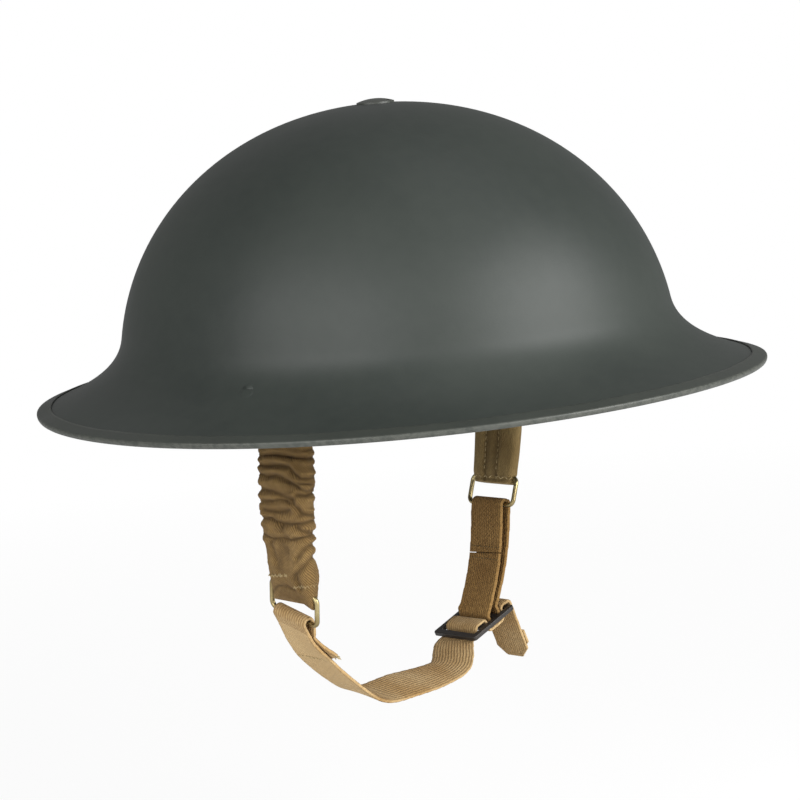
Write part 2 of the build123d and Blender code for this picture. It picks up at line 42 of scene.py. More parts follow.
# Lengths below are in millimetres, in the frame of the CAD part
helmetBody = "helmet"
strapBody = "chinstrap"

photoCamera = {
    "azimuth": 31.031, "elevation": 7.89, "roll": 4.95,
    "target": (0.67, -1.95, -14.3), "distance": 1196.3, "lens": 129.84,
    "farthest": 30,                 # metres
}
studio = {
    "floorLevel": -215,
    "floorSize": 14,                # metres
    "floorColour": (0.93, 0.93, 0.93, 1),
    "floorFade": (0.3, 1.1, 0.84),  # metres over which the floor turns plain white, and how white it starts
    "worldLight": 0.3,
    "keyPlace": (1390, -120, 480), "keySize": (1250, 850), "keyPower": 35,
    "fillPlace": (-100, -1300, 500), "fillSize": (1300, 900), "fillPower": 17,
    "topPlace": (300, 100, 1400), "topSize": (900, 900), "topPower": 2,
}


def unit(vectors):
    vectors = np.asarray(vectors, float)
    return vectors / np.linalg.norm(vectors, axis=-1, keepdims=True)


# Angles round a full turn, without its end
def ringTurns(count):
    return np.linspace(0, 2 * math.pi, count, endpoint=False)


# A screen colour of 0 to 255 as the linear colour that a shader takes
def linear(colour):
    return tuple(((c / 255 + 0.055) / 1.055) ** 2.4 if c > 10 else c / 255 / 12.92 for c in colour) + (1,)


def makeCamera(values):
    turn, rise, roll = (math.radians(values[key]) for key in ("azimuth", "elevation", "roll"))
    back = Vector((math.sin(turn) * math.cos(rise), -math.cos(turn) * math.cos(rise), math.sin(rise)))
    data = bpy.data.cameras.new("photoCamera")
    data.sensor_width = 36
    data.lens = values["lens"]
    data.clip_end = values["farthest"]
    camera = bpy.data.objects.new("photoCamera", data)
    bpy.context.scene.collection.objects.link(camera)
    camera.location = (Vector(values["target"]) + back * values["distance"]) / 1000
    camera.rotation_mode = "QUATERNION"
    level = (-back).to_track_quat("-Z", "Y")
    camera.rotation_quaternion = level @ Matrix.Rotation(-roll, 3, "Z").to_quaternion()
    bpy.context.scene.camera = camera


def makeLamp(name, place, size, power):
    data = bpy.data.lights.new(name, "AREA")
    data.shape = "RECTANGLE"
    data.size, data.size_y = size[0] / 1000, size[1] / 1000
    data.energy = power
    lamp = bpy.data.objects.new(name, data)
    lamp.location = Vector(place) / 1000
    lamp.rotation_euler = (-Vector(place)).to_track_quat("-Z", "Y").to_euler()
    bpy.context.scene.collection.objects.link(lamp)


# Adds a shader node, with its settings and its inputs: a value, or a socket to link
def addNode(tree, kind, inputs=None, **settings):
    made = tree.nodes.new("ShaderNode" + kind)
    for key, value in settings.items():
        setattr(made, key, value)
    for key, value in (inputs or {}).items():
        if isinstance(value, bpy.types.NodeSocket):
            tree.links.new(value, made.inputs[key])
        else:
            made.inputs[key].default_value = value
    return made


def calc(tree, operation, first, second=0.0, third=0.0):
    node = addNode(tree, "Math", {0: first, 1: second, 2: third}, operation=operation)
    return node.outputs[0]


def between(tree, value, low, high, newLow=0.0, newHigh=1.0):
    node = addNode(tree, "MapRange", {"Value": value, "From Min": low, "From Max": high,
                                      "To Min": newLow, "To Max": newHigh}, clamp=True)
    return node.outputs["Result"]


def blendColours(tree, share, first, second):
    node = addNode(tree, "Mix", data_type="RGBA")
    for key, value in ((0, share), (6, first), (7, second)):
        if isinstance(value, bpy.types.NodeSocket):
            tree.links.new(value, node.inputs[key])
        else:
            node.inputs[key].default_value = value
    return node.outputs[2]


def makeStage(values):
    world = bpy.data.worlds.new("studio")
    bpy.context.scene.world = world
    world.use_nodes = True
    tree = world.node_tree
    tree.nodes.clear()
    path = addNode(tree, "LightPath")
    seen = calc(tree, "MAXIMUM", path.outputs["Is Camera Ray"], path.outputs["Is Transmission Ray"])
    strength = addNode(tree, "Mix", {"Factor": seen, "A": values["worldLight"], "B": 1.0})
    shine = addNode(tree, "Background", {"Color": (1, 1, 1, 1), "Strength": strength.outputs[0]})
    addNode(tree, "OutputWorld", {"Surface": shine.outputs[0]})

    material = bpy.data.materials.new("paleFloor")
    material.use_nodes = True
    tree = material.node_tree
    tree.nodes.clear()
    path = addNode(tree, "LightPath")
    place = addNode(tree, "NewGeometry")
    far = addNode(tree, "VectorMath", {0: place.outputs["Position"]}, operation="LENGTH")
    near, away, pale = values["floorFade"]
    fade = between(tree, far.outputs["Value"], near, away, pale, 1.0)
    matte = addNode(tree, "BsdfDiffuse", {"Color": values["floorColour"]})
    white = addNode(tree, "Emission", {"Color": (1, 1, 1, 1), "Strength": 1.0})
    share = calc(tree, "MULTIPLY", path.outputs["Is Camera Ray"], fade)
    mixed = addNode(tree, "MixShader", {"Fac": share, 1: matte.outputs[0], 2: white.outputs[0]})
    addNode(tree, "OutputMaterial", {"Surface": mixed.outputs[0]})
    bpy.ops.mesh.primitive_plane_add(size=values["floorSize"], location=(0, 0, values["floorLevel"] / 1000))
    floor = bpy.context.object
    floor.name = "floor"
    floor.data.materials.append(material)
    for name in ("key", "fill", "top"):
        makeLamp(name + "Lamp", values[name + "Place"], values[name + "Size"], values[name + "Power"])
    bpy.context.scene.view_settings.view_transform = "Standard"


makeCamera(photoCamera)
makeStage(studio)
print("camera, floor and lamps made")


def makeGroup(name, inputs, outputs, build):
    tree = bpy.data.node_groups.new(name, "ShaderNodeTree")
    for key, (kind, value) in inputs.items():
        socket = tree.interface.new_socket(key, in_out="INPUT", socket_type=kind)
        if value is not None:
            socket.default_value = value
    for key in outputs:
        tree.interface.new_socket(key, in_out="OUTPUT", socket_type="NodeSocketFloat")
    start = tree.nodes.new("NodeGroupInput")
    end = tree.nodes.new("NodeGroupOutput")
    for key, socket in build(tree, start.outputs).items():
        tree.links.new(socket, end.inputs[key])
    return tree


vectorSocket = ("NodeSocketVector", None)
grain = {
    "patchRange": (0.32, 0.68), "speckleRange": (0.35, 0.65), "speckleScale": 14.0,
    "spotRange": (0.05, 0.16), "spotPatches": (0.52, 0.62), "spotPatchScale": 0.3,
    "twillBend": 0.35, "twillLean": 0.8, "weftLean": 1.6, "twillPick": 0.4,
    "ribBend": 0.22, "ribWander": 0.6, "pickPace": 0.7,
}


# A sine wave between 0 and 1
def ripple(tree, place):
    return calc(tree, "MULTIPLY_ADD", calc(tree, "SINE", place), 0.5, 0.5)


# Broad patches and fine speckle, from 0 to 1
def buildTone(tree, given):
    place = given["Vector"]
    broad = addNode(tree, "TexNoise", {"Vector": place, "Scale": given["Scale"], "Detail": 4.0})
    scale = calc(tree, "MULTIPLY", given["Scale"], grain["speckleScale"])
    fine = addNode(tree, "TexNoise", {"Vector": place, "Scale": scale, "Detail": 2.0})
    return {"Patches": between(tree, broad.outputs["Fac"], *grain["patchRange"]),
            "Speckle": between(tree, fine.outputs["Fac"], *grain["speckleRange"])}


# Sand-textured paint: grit height and a mask of rubbed spots
def buildPaint(tree, given):
    place = given["Vector"]
    grit = addNode(tree, "TexNoise", {"Vector": place, "Scale": given["Grit"], "Detail": 6.0, "Roughness": 0.65})
    spots = addNode(tree, "TexVoronoi", {"Vector": place, "Scale": given["Spots"]}, feature="F1")
    scale = calc(tree, "MULTIPLY", given["Spots"], grain["spotPatchScale"])
    patches = addNode(tree, "TexNoise", {"Vector": place, "Scale": scale, "Detail": 3.0})
    spot = between(tree, spots.outputs["Distance"], *grain["spotRange"], 1.0, 0.0)
    rubbed = calc(tree, "MULTIPLY", spot, between(tree, patches.outputs["Fac"], *grain["spotPatches"]))
    return {"Height": grit.outputs["Fac"], "Rubbed": rubbed}


# Diagonal twill: the vector is the cloth's own place in millimetres
def buildTwill(tree, given):
    split = addNode(tree, "SeparateXYZ", {"Vector": given["Vector"]})
    x, y = split.outputs["X"], split.outputs["Y"]
    turns = calc(tree, "DIVIDE", 2 * math.pi, given["Pitch"])
    bend = addNode(tree, "TexNoise", {"Vector": given["Vector"], "Scale": grain["twillBend"], "Detail": 2.0})
    lean = calc(tree, "ADD", x, calc(tree, "MULTIPLY", y, grain["twillLean"]))
    lean = calc(tree, "ADD", lean, bend.outputs["Fac"])
    ridge = ripple(tree, calc(tree, "MULTIPLY", lean, turns))
    weft = calc(tree, "SUBTRACT", calc(tree, "MULTIPLY", x, grain["weftLean"]), y)
    pick = ripple(tree, calc(tree, "MULTIPLY", weft, turns))
    return {"Height": calc(tree, "MULTIPLY_ADD", pick, grain["twillPick"], ridge), "Ridge": ridge}


# Ribbed webbing: ribs run along the strip, and picks cross them in turn
def buildWebbing(tree, given):
    split = addNode(tree, "SeparateXYZ", {"Vector": given["Vector"]})
    turns = calc(tree, "DIVIDE", 2 * math.pi, given["Pitch"])
    bend = addNode(tree, "TexNoise", {"Vector": given["Vector"], "Scale": grain["ribBend"], "Detail": 2.0})
    across = calc(tree, "MULTIPLY_ADD", bend.outputs["Fac"], grain["ribWander"], split.outputs["X"])
    rib = ripple(tree, calc(tree, "MULTIPLY", across, turns))
    half = calc(tree, "MULTIPLY", calc(tree, "FLOOR", calc(tree, "DIVIDE", across, given["Pitch"])), math.pi)
    along = calc(tree, "MULTIPLY", split.outputs["Y"], calc(tree, "MULTIPLY", turns, grain["pickPace"]))
    pick = ripple(tree, calc(tree, "ADD", along, half))
    return {"Height": calc(tree, "MULTIPLY_ADD", pick, given["Picks"], rib), "Rib": rib}


toneGroup = makeGroup("unevenTone", {"Vector": vectorSocket, "Scale": ("NodeSocketFloat", 8.0)},
                      ("Patches", "Speckle"), buildTone)
paintGroup = makeGroup("grittyPaint", {"Vector": vectorSocket, "Grit": ("NodeSocketFloat", 900.0),
                                       "Spots": ("NodeSocketFloat", 60.0)}, ("Height", "Rubbed"), buildPaint)
twillGroup = makeGroup("twillWeave", {"Vector": vectorSocket, "Pitch": ("NodeSocketFloat", 1.0)},
                       ("Height", "Ridge"), buildTwill)
webbingGroup = makeGroup("ribbedWebbing", {"Vector": vectorSocket, "Pitch": ("NodeSocketFloat", 1.1),
                                           "Picks": ("NodeSocketFloat", 0.5)}, ("Height", "Rib"), buildWebbing)


def newMaterial(name, roughness, metallic=0.0):
    material = bpy.data.materials.new(name)
    material.use_nodes = True
    tree = material.node_tree
    tree.nodes.clear()
    shader = addNode(tree, "BsdfPrincipled", {"Roughness": roughness, "Metallic": metallic})
    addNode(tree, "OutputMaterial", {"Surface": shader.outputs[0]})
    return material, tree, shader


def addBump(tree, shader, height, strength, distance):
    bump = addNode(tree, "Bump", {"Height": height, "Strength": strength, "Distance": distance / 1000})
    tree.links.new(bump.outputs[0], shader.inputs["Normal"])


def objectPlace(tree):
    return addNode(tree, "TexCoord").outputs["Object"]


def clothPlace(tree):
    return addNode(tree, "UVMap", uv_map="cloth").outputs["UV"]


# The base colour: dark and light patches
def patchedBase(tree, tone, values):
    return blendColours(tree, tone.outputs["Patches"], linear(values["dark"]), linear(values["light"]))


# Puts a colour over the base where the mask is, as strongly as the amount says
def overlay(tree, base, mask, amount, colour):
    return blendColours(tree, calc(tree, "MULTIPLY", mask, amount), base, linear(colour))


def linkRoughness(tree, shader, mask, middle, spread):
    rough = between(tree, mask, 0.0, 1.0, middle - spread[0], middle + spread[1])
    tree.links.new(rough, shader.inputs["Roughness"])


def markOnMesh(tree, name):
    return addNode(tree, "Attribute", attribute_name=name).outputs["Fac"]


# Shared by all materials of a kind: spreads of the roughness, and depths of the relief in millimetres
surfaces = {
    "paintSpread": (0.05, 0.07), "paintDepth": 0.25, "chips": (0.1, 0.7, 0.35, 1.0),
    "metalPatches": 90.0, "tarnish": 0.3, "metalSpread": (0.06, 0.1), "metalBump": 0.15, "metalDepth": 0.05,
    "clothRoughness": 0.9, "clothPatches": 55.0, "sheen": 0.03, "sheenRoughness": 0.6, "clothSpecular": 0.15,
    "clothDepth": 0.22,
}


# Painted steel with grit, patches, rubbed spots, and an edge attribute that shows wear, on the rim band with a
# painted highlight
def makePaintMaterial(name, values):
    material, tree, shader = newMaterial(name, values["roughness"])
    place = objectPlace(tree)
    tone = addNode(tree, "Group", {"Vector": place, "Scale": values["patchScale"]}, node_tree=toneGroup)
    paint = addNode(tree, "Group", {"Vector": place, "Grit": values["grit"], "Spots": values["spots"]},
                    node_tree=paintGroup)
    base = patchedBase(tree, tone, values)
    base = overlay(tree, base, tone.outputs["Speckle"], values["speckle"], values["dust"])
    base = overlay(tree, base, paint.outputs["Rubbed"], values["rubbed"], values["bare"])
    if values.get("edgeWearAndHighlight"):
        # Bare metal on the marked edges: wear, and also a painted highlight along the rim's rounded edge
        chips = between(tree, tone.outputs["Speckle"], *surfaces["chips"])
        wornAndLitEdge = calc(tree, "MULTIPLY", markOnMesh(tree, "edge"), chips)
        base = overlay(tree, base, wornAndLitEdge, values["edgeWearAndHighlight"], values["bare"])
    tree.links.new(base, shader.inputs["Base Color"])
    linkRoughness(tree, shader, tone.outputs["Patches"], values["roughness"], surfaces["paintSpread"])
    shader.inputs["Specular IOR Level"].default_value = values.get("specular", 0.5)
    addBump(tree, shader, paint.outputs["Height"], values["bump"], surfaces["paintDepth"])
    return material


# Metal with a tarnished tone
def makeMetalMaterial(name, values):
    material, tree, shader = newMaterial(name, values["roughness"], 1.0)
    tone = addNode(tree, "Group", {"Vector": objectPlace(tree), "Scale": surfaces["metalPatches"]},
                   node_tree=toneGroup)
    base = patchedBase(tree, tone, values)
    base = overlay(tree, base, tone.outputs["Speckle"], surfaces["tarnish"], values["dark"])
    tree.links.new(base, shader.inputs["Base Color"])
    linkRoughness(tree, shader, tone.outputs["Speckle"], values["roughness"], surfaces["metalSpread"])
    addBump(tree, shader, tone.outputs["Speckle"], surfaces["metalBump"], surfaces["metalDepth"])
    return material


# Woven cloth: twill or ribbed webbing on the piece's own cloth map, in millimetres
def makeClothMaterial(name, values):
    material, tree, shader = newMaterial(name, surfaces["clothRoughness"])
    given = {"Vector": clothPlace(tree), "Pitch": values["pitch"]}
    if values["weave"] == "twill":
        weave = addNode(tree, "Group", given, node_tree=twillGroup)
        ridge = weave.outputs["Ridge"]
    else:
        weave = addNode(tree, "Group", {**given, "Picks": values.get("picks", 0.5)}, node_tree=webbingGroup)
        ridge = weave.outputs["Rib"]
    tone = addNode(tree, "Group", {"Vector": objectPlace(tree), "Scale": surfaces["clothPatches"]},
                   node_tree=toneGroup)
    base = patchedBase(tree, tone, values)
    # Painted shade: the weave's furrows are darkened toward the deep colour, which also draws the weave
    base = overlay(tree, base, calc(tree, "SUBTRACT", 1.0, ridge), values["furrow"], values["deep"])
    base = overlay(tree, base, tone.outputs["Speckle"], values["speckle"], values["deep"])
    # Painted shade: creases, seams, folds and channels darkened toward the deep colour, by the mesh's shade mark
    base = overlay(tree, base, markOnMesh(tree, "hollow"), values.get("hollow", 0.0), values["deep"])
    base = overlay(tree, base, markOnMesh(tree, "edge"), values.get("edge", 0.0), values["light"])
    tree.links.new(base, shader.inputs["Base Color"])
    shader.inputs["Sheen Weight"].default_value = surfaces["sheen"]
    shader.inputs["Sheen Roughness"].default_value = surfaces["sheenRoughness"]
    shader.inputs["Specular IOR Level"].default_value = surfaces["clothSpecular"]
    addBump(tree, shader, weave.outputs["Height"], values["bump"], surfaces["clothDepth"])
    return material


finishes = {
    "shellPaint": {"dark": (36, 41, 38), "light": (42, 47, 43), "dust": (50, 54, 50), "bare": (58, 61, 56),
                   "roughness": 0.47, "patchScale": 14.0, "grit": 900.0, "spots": 75.0, "speckle": 0.16,
                   "rubbed": 0.08, "bump": 0.18, "specular": 0.36},
    # The rim's bare colour paints rubbed spots and its worn edge, which also stands in for a highlight
    "rimPaint": {"dark": (40, 44, 40), "light": (47, 51, 46), "dust": (60, 62, 57), "bare": (112, 112, 104),
                 "roughness": 0.46, "patchScale": 30.0, "grit": 900.0, "spots": 130.0, "speckle": 0.12,
                 "rubbed": 0.1, "bump": 0.12, "edgeWearAndHighlight": 0.2, "specular": 0.4},
    "screwPaint": {"dark": (48, 51, 47), "light": (60, 63, 58), "dust": (80, 80, 74), "bare": (110, 108, 100),
                   "roughness": 0.42, "patchScale": 120.0, "grit": 900.0, "spots": 260.0, "speckle": 0.2,
                   "rubbed": 0.3, "bump": 0.15},
    "blackPaint": {"dark": (22, 20, 19), "light": (36, 32, 29), "dust": (66, 54, 42), "bare": (110, 94, 74),
                   "roughness": 0.44, "patchScale": 110.0, "grit": 1200.0, "spots": 420.0, "speckle": 0.12,
                   "rubbed": 0.35, "bump": 0.15},
    "rubber": {"dark": (34, 33, 32), "light": (52, 50, 47), "dust": (84, 80, 72), "bare": (70, 68, 62),
               "roughness": 0.8, "patchScale": 60.0, "grit": 700.0, "spots": 200.0, "speckle": 0.3,
               "rubbed": 0.2, "bump": 0.2, "specular": 0.25},
    "fibre": {"dark": (88, 52, 34), "light": (122, 76, 50), "dust": (140, 104, 76), "bare": (150, 116, 86),
              "roughness": 0.62, "patchScale": 40.0, "grit": 500.0, "spots": 120.0, "speckle": 0.35,
              "rubbed": 0.3, "bump": 0.25, "specular": 0.3},
    "oilcloth": {"dark": (38, 34, 31), "light": (60, 52, 45), "dust": (92, 80, 66), "bare": (104, 86, 66),
                 "roughness": 0.46, "patchScale": 50.0, "grit": 420.0, "spots": 150.0, "speckle": 0.25,
                 "rubbed": 0.5, "bump": 0.5, "specular": 0.4},
    "felt": {"dark": (118, 112, 98), "light": (148, 140, 122), "dust": (98, 92, 80), "bare": (164, 156, 138),
             "roughness": 0.95, "patchScale": 80.0, "grit": 1500.0, "spots": 300.0, "speckle": 0.5,
             "rubbed": 0.3, "bump": 0.9, "specular": 0.1},
}
metals = {
    "brass": {"dark": (128, 112, 76), "light": (196, 182, 136), "roughness": 0.34},
    "steel": {"dark": (112, 110, 104), "light": (160, 158, 150), "roughness": 0.42},
}
# Cloths: deep is the colour of dark speckle and of painted shade in the weave's furrows and in creases, seams and
# channels
cloths = {
    "nearCanvas": {"weave": "twill", "pitch": 0.95, "dark": (130, 102, 60), "light": (160, 130, 82),
                   "deep": (60, 43, 21), "furrow": 0.7, "speckle": 0.28, "hollow": 0.7, "bump": 1.2},
    "farCanvas": {"weave": "twill", "pitch": 0.95, "dark": (124, 103, 64), "light": (154, 132, 88),
                  "deep": (72, 57, 33), "furrow": 0.42, "speckle": 0.25, "hollow": 0.75, "bump": 0.6},
    "strapWebbing": {"weave": "webbing", "pitch": 1.45, "dark": (158, 126, 80), "light": (182, 156, 114),
                     "deep": (108, 80, 44), "furrow": 0.55, "speckle": 0.3, "hollow": 0.6, "edge": 0.75,
                     "bump": 0.9, "picks": 0.45},
    "tabWebbing": {"weave": "webbing", "pitch": 1.2, "dark": (126, 94, 51), "light": (154, 121, 72),
                   "deep": (86, 61, 30), "furrow": 0.6, "speckle": 0.5, "hollow": 0.6, "edge": 0.4,
                   "bump": 0.9, "picks": 0.7},
    "linerTape": {"weave": "webbing", "pitch": 1.6, "dark": (84, 76, 60), "light": (110, 100, 80),
                  "deep": (52, 46, 36), "furrow": 0.5, "speckle": 0.3, "bump": 0.7},
    "padCloth": {"weave": "twill", "pitch": 1.3, "dark": (58, 54, 49), "light": (82, 76, 68),
                 "deep": (34, 32, 29), "furrow": 0.5, "speckle": 0.3, "bump": 0.7},
    "thread": {"weave": "webbing", "pitch": 0.5, "dark": (150, 130, 92), "light": (178, 160, 120),
               "deep": (96, 80, 52), "furrow": 0.3, "speckle": 0.2, "bump": 0.4},
    "darkThread": {"weave": "webbing", "pitch": 0.5, "dark": (92, 76, 48), "light": (116, 96, 64),
                   "deep": (60, 48, 30), "furrow": 0.3, "speckle": 0.2, "bump": 0.4},
}
materials = {}
for make, kinds in ((makePaintMaterial, finishes), (makeMetalMaterial, metals), (makeClothMaterial, cloths)):
    materials.update({name: make(name, values) for name, values in kinds.items()})
print("materials made")


def finishPiece(piece, material, body, nodes):
    piece.data.materials.append(materials[material])
    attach(piece, body)
    if nodes:
        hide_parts(*nodes)
    return piece


# The mesh as a smooth-shaded object in the scene
def placeMesh(name, mesh):
    mesh.polygons.foreach_set("use_smooth", [True] * len(mesh.polygons))
    piece = bpy.data.objects.new(name, mesh)
    bpy.context.scene.collection.objects.link(piece)
    return piece


# Turns all faces outward, and first joins the points that lie closer than the weld distance, in metres
def turnOutward(mesh, weld=0.0):
    tool = bmesh.new()
    tool.from_mesh(mesh)
    if weld:
        bmesh.ops.delete(tool, geom=[vert for vert in tool.verts if not vert.link_faces], context="VERTS")
        bmesh.ops.remove_doubles(tool, verts=tool.verts, dist=weld)
    bmesh.ops.recalc_face_normals(tool, faces=tool.faces)
    tool.to_mesh(mesh)
    tool.free()


# A grid of points as a mesh, in millimetres: across and along give each corner's place on the cloth
def gridMesh(name, points, ringAcross=False, ringAlong=False, across=None, along=None, capped=False, marks=None):
    rows, cols = points.shape[:2]
    r, c = np.meshgrid(np.arange(rows if ringAlong else rows - 1), np.arange(cols if ringAcross else cols - 1),
                       indexing="ij")
    r, c = r.ravel(), c.ravel()
    r1, c1 = (r + 1) % rows, (c + 1) % cols
    faces = np.stack([r * cols + c, r * cols + c1, r1 * cols + c1, r1 * cols + c], 1).tolist()
    if capped:
        faces += [list(range(cols))[::-1], [(rows - 1) * cols + k for k in range(cols)]]
    mesh = bpy.data.meshes.new(name)
    mesh.from_pydata((points.reshape(-1, 3) / 1000).tolist(), [], faces)
    if across is not None:
        corner = np.stack([np.stack([across[a], along[b]], 1)
                           for a, b in ((c, r), (c + 1, r), (c + 1, r + 1), (c, r + 1))], 1)
        flat = np.zeros(len(mesh.loops) * 2, dtype=np.float32)
        flat[:corner.size] = corner.ravel()
        mesh.uv_layers.new(name="cloth").data.foreach_set("uv", flat)
    for key, values in (marks or {}).items():
        attribute = mesh.attributes.new(key, "FLOAT", "POINT")
        attribute.data.foreach_set("value", np.asarray(values, dtype=np.float32).ravel())
    turnOutward(mesh)
    return placeMesh(name, mesh)


def joinPieces(name, pieces):
    bpy.ops.object.select_all(action="DESELECT")
    for piece in pieces:
        piece.select_set(True)
    bpy.context.view_layer.objects.active = pieces[0]
    bpy.ops.object.join()
    pieces[0].name = name
    pieces[0].data.name = name
    return pieces[0]


def lengthsAlong(line):
    return np.concatenate([[0], np.cumsum(np.linalg.norm(np.diff(line, axis=0), axis=1))])


# A smooth line through points, with an even step; directions at its ends may be given
def curveThrough(points, count, startDirection=None, endDirection=None):
    points = np.array(points, float)
    knots, size = lengthsAlong(points), len(points)
    gaps = np.diff(knots)
    system = np.zeros((size, size))
    target = np.zeros((size, 3))
    for k in range(1, size - 1):
        system[k, k - 1], system[k, k], system[k, k + 1] = gaps[k], 2 * (gaps[k - 1] + gaps[k]), gaps[k - 1]
        target[k] = 3 * (gaps[k] * (points[k] - points[k - 1]) / gaps[k - 1]
                         + gaps[k - 1] * (points[k + 1] - points[k]) / gaps[k])
    for end, inner, direction in ((0, 1, startDirection), (size - 1, size - 2, endDirection)):
        if direction is None:
            system[end, end], system[end, inner] = 2, 1
            step, gap = (points[1] - points[0], gaps[0]) if end == 0 else (points[-1] - points[-2], gaps[-1])
            target[end] = 3 * step / gap
        else:
            system[end, end] = 1
            target[end] = unit(direction)
    slopes = np.linalg.solve(system, target)
    places = np.linspace(0, knots[-1], count * 6)
    index = np.clip(np.searchsorted(knots, places, side="right") - 1, 0, size - 2)
    h = gaps[index][:, None]
    t = ((places - knots[index]) / gaps[index])[:, None]
    line = (2 * t**3 - 3 * t**2 + 1) * points[index] + (t**3 - 2 * t**2 + t) * h * slopes[index] \
        + (-2 * t**3 + 3 * t**2) * points[index + 1] + (t**3 - t**2) * h * slopes[index + 1]
    return evenSteps(line, count)


# Rows of values at other places along the line that they belong to
def sampleRows(places, lengths, rows):
    return np.stack([np.interp(places, lengths, column) for column in rows.T], 1)


def evenSteps(line, count):
    lengths = lengthsAlong(line)
    return sampleRows(np.linspace(0, lengths[-1], count), lengths, line)


# A polyline in a plane with its corners rounded
def roundCorners(points, radius):
    points = [np.array(point, float) for point in points]
    line = [points[0]]
    for before, corner, after in zip(points, points[1:], points[2:]):
        first, second = unit(before - corner), unit(after - corner)
        half = math.acos(max(-1, min(1, float(first @ second)))) / 2
        reach = min(radius / math.tan(half), 0.49 * np.linalg.norm(before - corner),
                    0.49 * np.linalg.norm(after - corner))
        start, end = corner + first * reach, corner + second * reach
        pull = corner * 0.75 + (start + end) * 0.125
        line += [(1 - t) ** 2 * start + 2 * t * (1 - t) * pull + t * t * end for t in np.arange(7) / 6]
    line.append(points[-1])
    return np.array(line)


def widthDirection(yaw, roll):
    yaw, roll = math.radians(yaw), math.radians(roll)
    return np.array([math.cos(yaw) * math.cos(roll), math.sin(yaw) * math.cos(roll), -math.sin(roll)])


ribbonSizes = {"mapHalf": 9.5, "edge": 1.2, "bowMiddle": 0.4, "rounding": (60, 30, 0, -30, -60)}
threadSizes = {"lift": 0.12, "sides": 6, "rows": ((0, 0.55), (0.18, 1), (0.5, 1), (0.82, 1), (1, 0.55))}


# A flat strip with rounded edges: middles, width directions and widths along its line
def ribbonMesh(name, line, sideways, width, thickness, stations=9, marks=None, bow=None):
    line = np.asarray(line, float)
    ahead = unit(np.gradient(line, axis=0))
    sideways = np.broadcast_to(np.asarray(sideways, float), line.shape)
    sideways = unit(sideways - ahead * (sideways * ahead).sum(1, keepdims=True))
    normal = np.cross(ahead, sideways)
    half = thickness / 2
    section = []        # share across, rounding past that share, and height
    for side in (1, -1):
        section += [(u, 0.0, side) for u in np.linspace(-side, side, stations)]
        section += [(side, side * math.cos(a), side * math.sin(a)) for a in np.radians(ribbonSizes["rounding"])]
    share, rounding, height = np.array(section).T
    flat = width[:, None] / 2 - half
    u = flat * share[None] + rounding[None] * half
    h = np.repeat((height * half)[None], len(line), 0)
    if bow is not None:
        h = h + bow[:, None] * (share[None] ** 2 - ribbonSizes["bowMiddle"])
    points = line[:, None] + sideways[:, None] * u[..., None] + normal[:, None] * h[..., None]
    place = np.concatenate([share * ribbonSizes["mapHalf"] + rounding * half, [-ribbonSizes["mapHalf"]]])
    rim = width[:, None] / 2 - ribbonSizes["edge"]
    edge = np.clip((np.abs(share[None] * flat + rounding * half) - rim) / ribbonSizes["edge"], 0, 1)
    return gridMesh(name, points, ringAcross=True, across=place, along=lengthsAlong(line), capped=True,
                    marks={"edge": edge, "hollow": np.zeros_like(edge), **(marks or {})})


# A stitch reaches as far to both sides of its place
def addStitch(stitches, place, reach, out, lift=0.0):
    stitches.append((place - reach + out * lift, place + reach + out * lift, out))


# Small threads from one point to another, each a thin spindle that sinks at both ends
def sew(name, stitches, radius, material):
    sides, lift = threadSizes["sides"], threadSizes["lift"]
    verts, faces = [], []
    for start, end, out in stitches:
        out = unit(out)
        side = np.cross(unit(end - start), out)
        base = len(verts)
        for t, fullness in threadSizes["rows"]:
            height = lift * math.sin(math.pi * t) - lift * (t in (0, 1))
            middle = start + (end - start) * t + out * height
            verts += [tuple((middle + radius * fullness * (math.cos(a) * side + math.sin(a) * out)) / 1000)
                      for a in np.linspace(0, 2 * math.pi, sides + 1)[:-1]]
        for r in range(len(threadSizes["rows"]) - 1):
            for c in range(sides):
                low, high, step = base + r * sides, base + (r + 1) * sides, (c + 1) % sides
                faces.append((low + c, low + step, high + step, high + c))
    mesh = bpy.data.meshes.new(name)
    mesh.from_pydata(verts, [], faces)
    places = np.array(verts)[[loop.vertex_index for loop in mesh.loops]] * 1000
    cloth = np.stack([places[:, 0] + places[:, 1], places[:, 2]], 1).astype(np.float32)
    mesh.uv_layers.new(name="cloth").data.foreach_set("uv", cloth.ravel())
    finishPiece(placeMesh(name, mesh), material, strapBody, [])


# Uneven waves that are the same on each run
def waves(places, seed):
    places = np.asarray(places)
    return sum(np.sin(places * k * 0.37 * (1 + 0.13 * seed) + seed * 1.7 * k) / k for k in range(1, 6)) / 2


# The directions that stand square on a grid of points, which closes across its rows
def squareTo(points):
    around = np.roll(points, -1, 1) - np.roll(points, 1, 1)
    return unit(np.cross(np.gradient(points, axis=0), around))


shellSizes = {
    "length": 305, "width": 288, "height": 116.5, "thickness": 1, "domeLength": 236, "domeWidth": 213.2,
    "centreHeight": 10, "fullness": 2.06, "flareHeight": 28.5, "startReach": 14.9, "endReach": 19.2,
    "slope": 17.75, "frontReach": 8.2, "crownFlat": 9, "rimLevel": -8, "holeRadius": 3.25,
    "around": 240, "domeRows": 44, "flareRows": 26, "flareSteps": 81, "rowSpread": 1.25,
}
# The band's section: rows of share of its width, step toward the steel, and wear with painted highlight
bandSizes = {
    "width": 6, "sheet": 0.6, "gap": 0.15, "wander": 0.22, "inside": 0.03,
    "outerRows": ((1.0, 0.25, 0.7), (0.97, 0, 0.7), (0.8, 0, 0), (0.6, 0, 0), (0.4, 0, 0), (0.2, 0, 0),
                  (0.05, 0, 0)),
    "foldTurns": (75, 55, 35, 15, -5, -25, -45, -65, -80), "foldFullness": 0.8,
    "innerRows": ((0.1, 0, 0), (0.4, 0, 0), (0.8, 0, 0), (0.98, 0, 0.5), (1.0, 0.2, 0.5)),
}


